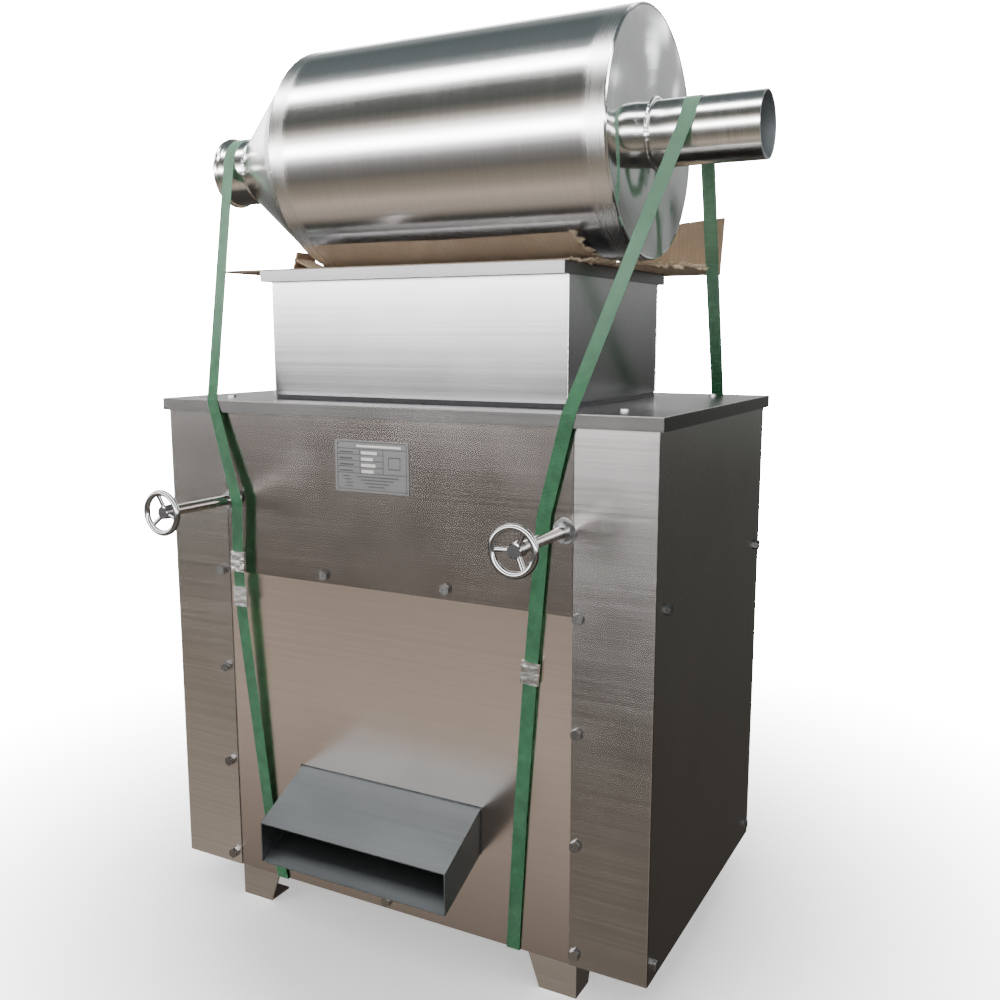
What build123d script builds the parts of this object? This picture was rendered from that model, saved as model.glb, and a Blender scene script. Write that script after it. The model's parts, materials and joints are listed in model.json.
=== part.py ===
from build123d import *
import math
import os

# Grape crusher destemmer: a sheet metal cabinet with an intake hopper, a pair of ribbed crushing
# rollers whose gap two handwheel screws set, a destemming screen with a paddle shaft, a must
# tray and chute, and a belt drive. A closed drum with a pipe at each end is strapped on top of
# the hopper for transport, on a sheet of corrugated card.
#
# Design frame: millimetres, X to the right seen from the front, Y to the back, Z up. X = 0 and
# Y = 0 are the cabinet's centre and Z = 0 is the floor. Every part is moved by SHIFT on export,
# which puts the origin under the centre of the whole machine's bounding box.

# ---- cabinet ----
CAB_W = 770.0
CAB_D = 476.0
LEG_H = 48.0
TOP_Z = 767.0
SHEET = 1.5
HALF_W = CAB_W / 2
FRONT = -CAB_D / 2
BACK = CAB_D / 2
STRIP_FACE = 1.2                      # the strips stand this far in front of the lower panel
STRIP_Y = FRONT - STRIP_FACE
COVER_TOP = TOP_Z - SHEET - 0.5
SEAM_X = 277.2                        # seam between the centre panels and the side strips
SEAM_GAP = 0.4
UPPER_PANEL_Z = 515.4
PANEL_LAP = 25.0
PANEL_SHEET = 1.2
LIP = 17.6
LIP_EDGE_R = 1.2
OVERHANG = 7.0
LIP_X = HALF_W + OVERHANG
LIP_Y = CAB_D / 2 + OVERHANG
THROAT_X = 226.0
THROAT_FRONT = -160.0
THROAT_BACK = 144.0

# ---- feet ----
FOOT_T = 3.0
FOOT_OUTER = (-277.0, 287.0)          # outer edges of the left and right feet
FOOT_TOP_W = 70.5
FOOT_BOTTOM_W = 54.0
FOOT_DEEP = 58.0

# ---- inner side plates ----
PLATE_T = 2.5
PLATE_X = SEAM_X - 1.2                # inner face of each plate
FLANGE = 32.0
PLATE_TOP = 760.0

# ---- cover screws ----
SCREW_AF = 13.0
SCREW_HEAD = 5.3
SCREW_R = 3.9
SCREW_HOLE_R = 4.05
SCREW_DEEP = 12.0
STRIP_SCREW_X = (-292.0, 285.0)
STRIP_SCREW_Z = (64.0, 215.0, 365.0, 514.0)
SIDE_SCREW_YZ = ((-196.0, 529.0), (220.0, 535.0), (-216.0, 68.0), (214.0, 71.0))
PANEL_SCREW_XZ = ((-103.0, 527.0), (95.0, 530.0))
LOWER_SCREW_XZ = (-8.0, 59.0)
TOP_SCREW_XY = ((317.0, -177.0), (-317.0, -177.0), (317.0, 190.0), (-317.0, 190.0))

# ---- nameplate ----
NAMEPLATE = (-78.5, 40.5, 649.5, 719.5)
NAMEPLATE_T = 0.8

# ---- hopper ----
HOPPER_X = 237.5
HOPPER_FRONT = -172.5
HOPPER_BACK = 156.0
HOPPER_RIM_Z = 951.0
GASKET = 6.0
RIM_LIP = 16.0
RIM_SIDE = 3.6
RIM_FRONT = 21.0

# ---- rollers and gears ----
SCREW_Z = 623.0
REAR_Y = 54.0
CENTRES = 124.0
FRONT_Y = REAR_Y - CENTRES
ROLLER_R = 58.0
ROLLER_CORE_R = 49.0
ROLLER_RIBS = 12
ROLLER_HALF = 250.0
SHAFT_R = 12.5
RUN_FIT = 0.05
GEAR_MODULE = 8.0
GEAR_TEETH = 15
GEAR_X = (-320.0, -297.0)
GAP_TRAVEL = 4.0
BLOCK_X = (255.4, 275.6)
BLOCK = 60.0

# ---- adjusting screws and handwheels ----
ADJUST_X = 266.0
ADJUST_R = 7.2
WHEEL_Y = FRONT - 139.0
WHEEL_R = 27.4
WHEEL_TUBE_R = 4.3
SPOKE_R = 3.1
LEFT_SPOKE = 225.0
RIGHT_SPOKE = 180.0
HUB_R = 9.0
TIP_R = 6.0
TIP_DEEP = 14.0

# ---- destemming screen, beater, must tray ----
BEATER_Z = 380.0
BEATER_R = 15.0
SCREEN_R = 122.0
SCREEN_T = 2.0
SCREEN_TOP = 552.0
SCREEN_X = 272.8
SCREEN_ROWS = 7
SCREEN_ROW_ANGLE = 24
PADDLES = 9
PADDLE_STEP = 58.0
PADDLE_TURN = 50.0
PADDLE_TIP = 110.0
STEM_X = (40.0, 150.0)
STEM_Z = (400.0, 490.0)
STEM_END_Y = 288.0
STEM_DROP = 34.0
TRAY_BACK = (222.0, 285.0)
TRAY_FRONT = (-233.0, 174.0)

# ---- must chute ----
CHUTE_X = (-155.0, 145.5)
CHUTE_PANEL_Z = (171.0, 235.0)
CHUTE_MOUTH_Z = (127.0, 185.0)
CHUTE_OUT = 93.0

# ---- drive ----
MOTOR_Y = 120.0
MOTOR_Z = 141.0
MOTOR_R = 74.0
MOTOR_X = (-60.0, 170.0)
BELT_W = 13.0
BELT_T = 8.0
BELT_CLEAR = 0.4
BEATER_BELT_X = 305.0
ROLLER_BELT_X = 345.0
MOTOR_PULLEY_R = 40.0
BEATER_BIG_R = 100.0
BEATER_SMALL_R = 45.0
ROLLER_PULLEY_R = 90.0

# ---- drum ----
DRUM_Y = -86.0
DRUM_Z = 1108.0
DRUM_R = 153.5
DRUM_T = 2.0
DRUM_X = (-176.0, 308.5)
CONE_X = -318.0
STUB_R = 48.0
STUB_END = -375.0
PIPE_R = 40.5
PIPE_END = 457.0
DISH = 8.0

# ---- packing ----
CARD_T = 3.0
STRAP_W = 19.0
STRAP_T = 0.9
SEAL = (30.0, 22.0, 1.2)

# ---- whole machine ----
FRONTMOST = WHEEL_Y - WHEEL_TUBE_R
SHIFT = (-(PIPE_END - LIP_X) / 2, -(STEM_END_Y + FRONTMOST) / 2, 0.0)


def box(x0, x1, y0, y1, z0, z1):
    """A block between two corners, in either order."""
    centre = Pos((x0 + x1) / 2, (y0 + y1) / 2, (z0 + z1) / 2)
    return centre * Box(abs(x1 - x0), abs(y1 - y0), abs(z1 - z0))


def rod_x(x0, x1, y, z, r):
    """A round bar along X."""
    return Pos((x0 + x1) / 2, y, z) * Rot(0, 90, 0) * Cylinder(r, abs(x1 - x0))


def rod_y(x, y0, y1, z, r):
    """A round bar along Y."""
    return Pos(x, (y0 + y1) / 2, z) * Rot(90, 0, 0) * Cylinder(r, abs(y1 - y0))


def rod_z(x, y, z0, z1, r):
    """A round bar along Z."""
    return Pos(x, y, (z0 + z1) / 2) * Cylinder(r, abs(z1 - z0))


def outline(points):
    """A flat face inside a closed polygon."""
    return make_face(Polyline(*points, close=True))


def prism_x(points, x0, x1):
    """A (y, z) polygon drawn out from x0 to x1."""
    return extrude(Plane.YZ.offset(x0) * outline(points), x1 - x0)


def prism_y(points, y0, y1):
    """An (x, z) polygon drawn out from y0 to y1."""
    return extrude(Plane.XZ.offset(-y1) * outline(points), y1 - y0)


def prism_z(points, z0, z1):
    """An (x, y) polygon drawn out from z0 to z1."""
    return extrude(Plane.XY.offset(z0) * outline(points), z1 - z0)


def turned_x(points, y, z):
    """An (x, radius) polygon turned about an axis along X."""
    plane = Plane(origin=(0, y, z), x_dir=(1, 0, 0), z_dir=(0, -1, 0))
    return revolve(plane * outline(points), Axis((0, y, z), (1, 0, 0)))


def turned_y(points, x, z):
    """A (y, radius) polygon turned about an axis along Y."""
    plane = Plane(origin=(x, 0, z), x_dir=(0, 1, 0), z_dir=(1, 0, 0))
    return revolve(plane * outline(points), Axis((x, 0, z), (0, 1, 0)))


def hex_y(x, y0, y1, z, across):
    """A hexagonal prism along Y with a point up."""
    corner = across / math.sqrt(3)
    points = []
    for k in range(6):
        angle = math.radians(60 * k + 90)
        points.append((x + corner * math.cos(angle), z + corner * math.sin(angle)))
    return prism_y(points, y0, y1)


def hex_x(x0, x1, y, z, across):
    """A hexagonal prism along X with a point up."""
    corner = across / math.sqrt(3)
    points = []
    for k in range(6):
        angle = math.radians(60 * k + 90)
        points.append((y + corner * math.cos(angle), z + corner * math.sin(angle)))
    return prism_x(points, x0, x1)


# ---- cabinet sheets ----

def base_plate():
    return box(-HALF_W + 2, HALF_W - 2, FRONT + 2, BACK - 2, LEG_H, LEG_H + 2)


def foot(outer, side, end):
    """A folded foot: tapered face, return flange and pad. side is -1 left, 1 right."""
    inner_top = outer - side * FOOT_TOP_W
    inner_bottom = outer - side * FOOT_BOTTOM_W
    face_y = end * (CAB_D / 2 - 2)
    face_in = end * (CAB_D / 2 - 2 - FOOT_T)
    low, high = sorted((face_y, face_in))
    face = prism_y([(outer, 0), (inner_bottom, 0), (inner_top, LEG_H), (outer, LEG_H)], low, high)
    deep_y = end * (CAB_D / 2 - 2 - FOOT_DEEP)
    low_y = end * (CAB_D / 2 - 2 - FOOT_DEEP * 0.7)
    x0, x1 = sorted((outer, outer - side * FOOT_T))
    web = prism_x([(face_y, 0), (low_y, 0), (deep_y, LEG_H), (face_y, LEG_H)], x0, x1)
    pad = box(outer, inner_bottom, face_y, low_y, 0, FOOT_T)
    return face + web + pad


def feet():
    left, right = FOOT_OUTER
    return [foot(left, -1, -1), foot(right, 1, -1), foot(left, -1, 1), foot(right, 1, 1)]


def side_cover(side):
    """A wrapped sheet: front strip, side face and back strip."""
    seam = SEAM_X + SEAM_GAP
    shell = box(seam, HALF_W, STRIP_Y, -STRIP_Y, LEG_H + 0.2, COVER_TOP)
    shell = fillet(shell.edges().filter_by(Axis.Z).group_by(Axis.X)[-1], 3.0)
    inner = box(seam - 1, HALF_W - SHEET, STRIP_Y + SHEET, -STRIP_Y - SHEET, 0, TOP_Z + 10)
    shell = shell - inner
    if side < 0:
        shell = mirror(shell, Plane.YZ)
    screw_x = STRIP_SCREW_X[0] if side < 0 else STRIP_SCREW_X[1]
    for z in STRIP_SCREW_Z:
        shell -= rod_y(screw_x, STRIP_Y - 1, STRIP_Y + 3, z, SCREW_HOLE_R)
        shell -= rod_y(screw_x, -STRIP_Y - 3, -STRIP_Y + 1, z, SCREW_HOLE_R)
    for y, z in SIDE_SCREW_YZ:
        shell -= rod_x(side * (HALF_W - 3), side * (HALF_W + 1), y, z, SCREW_HOLE_R)
    return shell


def inner_plate(side):
    """A side plate with flanges turned outwards, which carries the bearings and drives."""
    face = STRIP_Y + SHEET + 0.1
    web_face = STRIP_Y + 2 * PANEL_SHEET + 0.3
    web = box(PLATE_X, PLATE_X + PLATE_T, web_face, -web_face, LEG_H + 2, PLATE_TOP)
    for y0, y1 in ((face, face + PLATE_T), (-face - PLATE_T, -face)):
        web += box(PLATE_X + 2, PLATE_X + FLANGE, y0, y1, LEG_H + 2, PLATE_TOP)
    if side < 0:
        web = mirror(web, Plane.YZ)
    x0 = side * (PLATE_X - 1)
    x1 = side * (PLATE_X + PLATE_T + 1)
    slot_r = SHAFT_R + 4
    slot_y = GAP_TRAVEL + 2
    web -= rod_x(x0, x1, FRONT_Y - slot_y, SCREW_Z, slot_r)
    web -= rod_x(x0, x1, FRONT_Y + slot_y, SCREW_Z, slot_r)
    web -= box(x0, x1, FRONT_Y - slot_y, FRONT_Y + slot_y, SCREW_Z - slot_r, SCREW_Z + slot_r)
    web -= rod_x(x0, x1, REAR_Y, SCREW_Z, SHAFT_R + 4)
    web -= rod_x(x0, x1, 0, BEATER_Z, BEATER_R + 4)
    if side > 0:
        web -= rod_x(x0, x1, MOTOR_Y, MOTOR_Z, 22)
    screw_x = STRIP_SCREW_X[0] if side < 0 else STRIP_SCREW_X[1]
    for z in STRIP_SCREW_Z:
        web -= rod_y(screw_x, STRIP_Y, STRIP_Y + 8, z, SCREW_HOLE_R)
        web -= rod_y(screw_x, -STRIP_Y - 8, -STRIP_Y, z, SCREW_HOLE_R)
    return web


def front_upper_panel():
    half = SEAM_X - SEAM_GAP
    panel = box(-half, half, STRIP_Y, STRIP_Y + PANEL_SHEET, UPPER_PANEL_Z, COVER_TOP)
    for x in (-ADJUST_X, ADJUST_X):
        panel -= rod_y(x, STRIP_Y - 1, STRIP_Y + 3, SCREW_Z, ADJUST_R + 0.8)
    for x, z in PANEL_SCREW_XZ:
        panel -= rod_y(x, STRIP_Y - 1, STRIP_Y + 3, z, SCREW_HOLE_R)
    return panel


def front_lower_panel():
    half = SEAM_X - SEAM_GAP
    y0 = STRIP_Y + PANEL_SHEET + 0.1
    panel = box(-half, half, y0, y0 + PANEL_SHEET, LEG_H + 0.2, UPPER_PANEL_Z + PANEL_LAP)
    panel -= box(CHUTE_X[0] - 2, CHUTE_X[1] + 2, y0 - 1, y0 + 3,
                 CHUTE_PANEL_Z[0] - 2, CHUTE_PANEL_Z[1] + 2)
    for x, z in PANEL_SCREW_XZ + (LOWER_SCREW_XZ,):
        panel -= rod_y(x, y0 - 1, y0 + 3, z, SCREW_HOLE_R)
    return panel


def back_panel():
    half = SEAM_X - SEAM_GAP
    y1 = -STRIP_Y
    panel = box(-half, half, y1 - PANEL_SHEET, y1, LEG_H + 0.2, COVER_TOP)
    drop = STEM_DROP * (y1 - SCREEN_R) / (STEM_END_Y - SCREEN_R)
    panel -= box(STEM_X[0] - 2, STEM_X[1] + 2, y1 - 3, y1 + 1,
                 STEM_Z[0] - drop - 3, STEM_Z[1] - drop + 3)
    return panel


def front_rail():
    """An angle behind the lap of the two front panels, which their screws pull against."""
    y0 = STRIP_Y + 2 * PANEL_SHEET + 0.2
    z0 = UPPER_PANEL_Z - 3
    z1 = UPPER_PANEL_Z + PANEL_LAP
    rail = box(-PLATE_X, PLATE_X, y0, y0 + 2.5, z0, z1)
    rail += box(-PLATE_X, PLATE_X, y0, y0 + 22, z0, z0 + 2.5)
    for x, z in PANEL_SCREW_XZ:
        rail -= rod_y(x, y0 - 1, y0 + 4, z, SCREW_HOLE_R)
    return rail


def top_cover():
    """The cabinet's lid, with a folded lip and an opening under the hopper."""
    lid = box(-LIP_X, LIP_X, -LIP_Y, LIP_Y, TOP_Z - LIP, TOP_Z)
    lid = fillet(lid.edges().filter_by(Axis.Z), 3.0)
    lid = fillet(lid.faces().sort_by(Axis.Z)[-1].edges(), LIP_EDGE_R)
    inner = SHEET
    lid -= box(-LIP_X + inner, LIP_X - inner, -LIP_Y + inner, LIP_Y - inner, 0, TOP_Z - SHEET)
    lid -= box(-THROAT_X, THROAT_X, THROAT_FRONT, THROAT_BACK, 0, TOP_Z + 10)
    for x, y in TOP_SCREW_XY:
        lid -= rod_z(x, y, TOP_Z - 5, TOP_Z + 5, SCREW_HOLE_R)
    return lid


def screw_y(x, y, z, outward):
    """A hex screw with its head out of a face at y. outward is -1 at the front, 1 at the back."""
    y0, y1 = sorted((y, y + outward * SCREW_HEAD))
    s0, s1 = sorted((y, y - outward * SCREW_DEEP))
    return hex_y(x, y0, y1, z, SCREW_AF) + rod_y(x, s0, s1, z, SCREW_R)


def screw_x(x, y, z, outward):
    """A hex screw with its head out of a face at x. outward is -1 at the left, 1 at the right."""
    x0, x1 = sorted((x, x + outward * SCREW_HEAD))
    s0, s1 = sorted((x, x - outward * SCREW_DEEP))
    return hex_x(x0, x1, y, z, SCREW_AF) + rod_x(s0, s1, y, z, SCREW_R)


def cover_screws():
    screws = []
    for x in STRIP_SCREW_X:
        for z in STRIP_SCREW_Z:
            screws.append(screw_y(x, STRIP_Y, z, -1))
            screws.append(screw_y(x, -STRIP_Y, z, 1))
    for y, z in SIDE_SCREW_YZ:
        screws.append(screw_x(-HALF_W, y, z, -1))
        screws.append(screw_x(HALF_W, y, z, 1))
    for x, z in PANEL_SCREW_XZ:
        screws.append(screw_y(x, STRIP_Y, z, -1))
    screws.append(screw_y(LOWER_SCREW_XZ[0], STRIP_Y + PANEL_SHEET + 0.1, LOWER_SCREW_XZ[1], -1))
    for x, y in TOP_SCREW_XY:
        head = rod_z(x, y, TOP_Z, TOP_Z + 3.0, 6.5) + rod_z(x, y, TOP_Z - 8, TOP_Z, SCREW_R)
        screws.append(head)
    return screws


def nameplate():
    x0, x1, z0, z1 = NAMEPLATE
    plate = box(x0, x1, STRIP_Y - NAMEPLATE_T, STRIP_Y, z0, z1)
    return fillet(plate.edges().filter_by(Axis.Y), 2.0)


def nameplate_rivets():
    x0, x1, z0, z1 = NAMEPLATE
    face = STRIP_Y - NAMEPLATE_T
    rivets = []
    for x in (x0 + 4, x1 - 4):
        for z in (z0 + 4, z1 - 4):
            rivets.append(turned_y([(face, 0), (face, 2.0), (face - 0.5, 1.8), (face - 1.0, 0.9),
                                    (face - 1.1, 0)], x, z))
    return rivets


# ---- hopper ----

def hopper_gasket():
    z1 = TOP_Z + GASKET
    ring = box(-HOPPER_X, HOPPER_X, HOPPER_FRONT, HOPPER_BACK, TOP_Z, z1)
    ring = fillet(ring.edges().filter_by(Axis.Z), 8.0)
    wide = 9.0
    return ring - box(-HOPPER_X + wide, HOPPER_X - wide, HOPPER_FRONT + wide, HOPPER_BACK - wide,
                      0, z1 + 10)


def hopper():
    """Four walls with a rim turned outwards and down."""
    z0 = TOP_Z + GASKET
    front = HOPPER_FRONT - RIM_FRONT
    back = HOPPER_BACK + RIM_FRONT
    side = HOPPER_X + RIM_SIDE
    walls = box(-HOPPER_X, HOPPER_X, HOPPER_FRONT, HOPPER_BACK, z0, HOPPER_RIM_Z)
    walls = fillet(walls.edges().filter_by(Axis.Z), 3.0)
    rim = box(-side, side, front, back, HOPPER_RIM_Z - RIM_LIP, HOPPER_RIM_Z)
    rim = fillet(rim.edges().filter_by(Axis.Z), 2.5)
    rim = fillet(rim.faces().sort_by(Axis.Z)[-1].edges(), 1.2)
    rim -= box(-side + SHEET, side - SHEET, front + SHEET, back - SHEET,
               0, HOPPER_RIM_Z - SHEET)
    body = walls + rim
    return body - box(-HOPPER_X + SHEET, HOPPER_X - SHEET, HOPPER_FRONT + SHEET,
                      HOPPER_BACK - SHEET, 0, HOPPER_RIM_Z + 10)


def frustum(low, high, z0, z1):
    """A solid between two rectangles (x0, x1, y0, y1), one at z0 and one at z1."""
    faces = []
    for (x0, x1, y0, y1), z in ((low, z0), (high, z1)):
        corners = [(x0, y0), (x1, y0), (x1, y1), (x0, y1)]
        faces.append(Plane.XY.offset(z) * outline(corners))
    return loft(faces, ruled=True)


def feed_throat():
    """A tapered duct from the lid's opening down to the rollers."""
    z1 = TOP_Z - SHEET - 0.3
    z0 = SCREW_Z + ROLLER_R + 8
    x = THROAT_X
    outer = frustum((-x, x, -102, 86), (-x, x, THROAT_FRONT, THROAT_BACK), z0, z1)
    t = SHEET
    inner = frustum((-x + t, x - t, -102 + t, 86 - t),
                    (-x + t, x - t, THROAT_FRONT + t, THROAT_BACK - t), z0, z1)
    flange = box(-x - 14, x + 14, THROAT_FRONT - 14, THROAT_BACK + 14, z1 - t, z1)
    flange -= box(-x + t, x - t, THROAT_FRONT + t, THROAT_BACK - t, z1 - 10, z1 + 10)
    return outer - inner + flange


# ---- adjusting screws ----

def panel_washers():
    """A washer under each adjusting nut."""
    rings = []
    for x in (-ADJUST_X, ADJUST_X):
        ring = rod_y(x, STRIP_Y - 2.0, STRIP_Y, SCREW_Z, 16.0)
        rings.append(ring - rod_y(x, STRIP_Y - 5, STRIP_Y + 5, SCREW_Z, ADJUST_R + 0.8))
    return rings


def panel_nuts():
    """The threaded bushes in the front panel: hexagon, round collar and a tail inside."""
    nuts = []
    y0 = STRIP_Y - 2.0
    for x in (-ADJUST_X, ADJUST_X):
        nut = hex_y(x, y0 - 9.0, y0, SCREW_Z, 22.0)
        nut += rod_y(x, y0 - 12.5, y0 - 9.0, SCREW_Z, 10.2)
        nuts.append(nut - rod_y(x, y0 - 20, y0 + 30, SCREW_Z, ADJUST_R + RUN_FIT))
    return nuts


def adjusting_screw(side):
    """Smooth shank through the front bush, and a plain tip held in the bearing block."""
    x = side * ADJUST_X
    block_face = FRONT_Y - BLOCK / 2
    shank = rod_y(x, WHEEL_Y + 3, block_face - 0.4, SCREW_Z, ADJUST_R)
    tip = rod_y(x, block_face - 0.4, block_face + TIP_DEEP - 1, SCREW_Z, TIP_R)
    return shank + tip


def handwheel(side, first_spoke):
    """A dished wheel: round rim, hub and spokes that lean back to the hub."""
    x = side * ADJUST_X
    plane = Plane(origin=(x, 0, SCREW_Z), x_dir=(0, 1, 0), z_dir=(1, 0, 0))
    ring = plane * (Pos(WHEEL_Y, WHEEL_R) * Circle(WHEEL_TUBE_R))
    wheel = revolve(ring, Axis((x, 0, SCREW_Z), (0, 1, 0)))
    face = WHEEL_Y + 0.5
    wheel += turned_y([(face, 0), (face, HUB_R - 1), (face + 1, HUB_R), (face + 15, HUB_R + 1),
                       (face + 16, HUB_R), (face + 16, 0)], x, SCREW_Z)
    for k in range(3):
        angle = math.radians(first_spoke + 120 * k)
        ux = math.cos(angle)
        uz = math.sin(angle)
        start = Vector(x + 4 * ux, WHEEL_Y + 6.5, SCREW_Z + 4 * uz)
        end = Vector(x + WHEEL_R * ux, WHEEL_Y + 0.5, SCREW_Z + WHEEL_R * uz)
        path = Plane(origin=start, z_dir=end - start)
        wheel += extrude(path * Circle(SPOKE_R), (end - start).length)
    shank = rod_y(x, WHEEL_Y + 3, WHEEL_Y + 40, SCREW_Z, ADJUST_R)
    return wheel - shank


# ---- rollers ----

def bearing_block(side, y, tip_hole):
    """A square block with the roller shaft's bore, and the screw tip's bore if it slides."""
    x0, x1 = sorted((side * BLOCK_X[0], side * BLOCK_X[1]))
    half = BLOCK / 2
    block = box(x0, x1, y - half, y + half, SCREW_Z - half, SCREW_Z + half)
    block = chamfer(block.edges().filter_by(Axis.X), 3.0)
    block -= rod_x(x0 - 1, x1 + 1, y, SCREW_Z, SHAFT_R + RUN_FIT)
    if tip_hole:
        x = side * ADJUST_X
        block -= rod_y(x, y - half - 1, y - half + TIP_DEEP, SCREW_Z, TIP_R + RUN_FIT)
    return block


def block_guides():
    """Rails above and below each sliding block, fixed to the inner side plates."""
    rails = []
    gap = 0.1
    for side in (-1, 1):
        x0, x1 = sorted((side * BLOCK_X[0], side * (PLATE_X - 0.1)))
        for way in (-1, 1):
            z0 = SCREW_Z + way * (BLOCK / 2 + gap)
            z1 = z0 + way * 10
            rails.append(box(x0, x1, FRONT_Y - 48, FRONT_Y + 48, z0, z1))
    return rails


def roller(y):
    """A ribbed crushing roller's sleeve."""
    profile = Circle(ROLLER_CORE_R)
    ribs = PolarLocations((ROLLER_CORE_R + ROLLER_R) / 2 - 1, ROLLER_RIBS)
    profile += [place * Rectangle(ROLLER_R - ROLLER_CORE_R + 2, 11) for place in ribs]
    profile = fillet(profile.vertices().filter_by(
        lambda v: Vector(v.X, v.Y, 0).length > ROLLER_CORE_R + 3), 3.0)
    profile -= Circle(SHAFT_R + 0.02)
    plane = Plane(origin=(-ROLLER_HALF, y, SCREW_Z), x_dir=(0, 1, 0), z_dir=(1, 0, 0))
    return extrude(plane * profile, 2 * ROLLER_HALF)


def involute_gear(y, first_tooth):
    """A spur gear with thinned involute teeth, centred on a roller shaft."""
    pitch_r = GEAR_MODULE * GEAR_TEETH / 2
    base_r = pitch_r * math.cos(math.radians(20))
    tip_r = pitch_r + GEAR_MODULE
    root_r = pitch_r - 1.3 * GEAR_MODULE
    thinning = 1.4
    half_tooth = (math.pi * GEAR_MODULE / 2 - thinning) / 2 / pitch_r

    def roll(r):
        alpha = math.acos(base_r / r)
        return math.tan(alpha) - alpha

    steps = 5
    flank = []
    for k in range(steps + 1):
        r = base_r + (tip_r - base_r) * k / steps
        flank.append((r, half_tooth + roll(pitch_r) - roll(r)))
    points = []
    for tooth in range(GEAR_TEETH):
        centre = math.radians(first_tooth + 360 / GEAR_TEETH * tooth)
        ends = [(root_r, -flank[0][1])] + [(r, -a) for r, a in flank]
        ends += [(r, a) for r, a in reversed(flank)] + [(root_r, flank[0][1])]
        for r, a in ends:
            points.append((y + r * math.cos(centre + a), SCREW_Z + r * math.sin(centre + a)))
    gear = prism_x(points, GEAR_X[0], GEAR_X[1])
    return gear - rod_x(GEAR_X[0] - 1, GEAR_X[1] + 1, y, SCREW_Z, SHAFT_R + 0.02)


def front_roller_shaft():
    return rod_x(GEAR_X[0] - 4, BLOCK_X[1] - 1, FRONT_Y, SCREW_Z, SHAFT_R)


def rear_roller_shaft():
    return rod_x(GEAR_X[0] - 4, ROLLER_BELT_X + 16, REAR_Y, SCREW_Z, SHAFT_R)


# ---- belts and pulleys ----

def pulley(x, y, z, r, bore):
    """A single-groove pulley whose belt seat has radius r."""
    half = BELT_W / 2 + 3.5
    seat = BELT_W / 2 + BELT_CLEAR
    rim = r + BELT_T
    wheel = turned_x([(x - half, 0), (x - half, rim), (x - seat, rim), (x - seat, r - BELT_CLEAR),
                      (x + seat, r - BELT_CLEAR), (x + seat, rim), (x + half, rim),
                      (x + half, 0)], y, z)
    return wheel - rod_x(x - half - 1, x + half + 1, y, z, bore + 0.02)


def beater_pulley():
    """Two grooves on one hub: the large one is driven, the small one drives the rollers."""
    big = pulley(BEATER_BELT_X, 0, BEATER_Z, BEATER_BIG_R, BEATER_R)
    small = pulley(ROLLER_BELT_X, 0, BEATER_Z, BEATER_SMALL_R, BEATER_R)
    hub = rod_x(BEATER_BELT_X + 9, ROLLER_BELT_X - 9, 0, BEATER_Z, 26)
    hub -= rod_x(BEATER_BELT_X, ROLLER_BELT_X, 0, BEATER_Z, BEATER_R + 0.02)
    wheel = big + hub + small
    for k in range(5):
        angle = math.radians(72 * k)
        wheel -= rod_x(BEATER_BELT_X - 12, BEATER_BELT_X + 12, 60 * math.cos(angle),
                       BEATER_Z + 60 * math.sin(angle), 18)
    return wheel


def belt_outline(c1, r1, c2, r2):
    """The open belt around two circles, as a face."""
    dy = c2[0] - c1[0]
    dz = c2[1] - c1[1]
    along = math.atan2(dz, dy)
    lean = math.acos((r1 - r2) / math.hypot(dy, dz))

    def at(centre, r, angle):
        return (centre[0] + r * math.cos(angle), centre[1] + r * math.sin(angle))

    a1 = at(c1, r1, along + lean)
    a2 = at(c1, r1, along - lean)
    b1 = at(c2, r2, along + lean)
    b2 = at(c2, r2, along - lean)
    loop = ThreePointArc(a1, at(c1, r1, along + math.pi), a2)
    loop += Line(a2, b2)
    loop += ThreePointArc(b2, at(c2, r2, along), b1)
    loop += Line(b1, a1)
    return make_face(loop)


def belt(x, c1, r1, c2, r2):
    plane = Plane.YZ.offset(x - BELT_W / 2)
    ring = belt_outline(c1, r1 + BELT_T, c2, r2 + BELT_T) - belt_outline(c1, r1, c2, r2)
    return extrude(plane * ring, BELT_W)


# ---- beater, screen, tray, stem duct ----

def paddle(number):
    """A clamp ring, an arm and a twisted blade."""
    x = PADDLE_STEP * (number - (PADDLES - 1) / 2)
    ring = rod_x(x - 11, x + 11, 0, 0, BEATER_R + 8)
    arm = rod_z(x, 0, BEATER_R + 4, PADDLE_TIP - 20, 6)
    blade = Pos(x, 0, PADDLE_TIP - 21) * Rot(0, 0, 35) * Box(44, 6, 42)
    whole = ring + arm + blade - rod_x(x - 20, x + 20, 0, 0, BEATER_R + 0.02)
    return Pos(0, 0, BEATER_Z) * Rot(PADDLE_TURN * number, 0, 0) * whole


def beater_shaft():
    return rod_x(-PLATE_X - 18, ROLLER_BELT_X + 16, 0, BEATER_Z, BEATER_R)


def beater_bearings():
    """Flanged bearings on the outer faces of the inner side plates."""
    housings = []
    for side in (-1, 1):
        x0 = side * (PLATE_X + PLATE_T)
        housing = rod_x(x0, x0 + side * 4, 0, BEATER_Z, 38)
        housing += rod_x(x0 + side * 4, x0 + side * 14, 0, BEATER_Z, 27)
        housings.append(housing - rod_x(x0 - 20, x0 + 20, 0, BEATER_Z, BEATER_R + RUN_FIT))
    return housings


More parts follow.
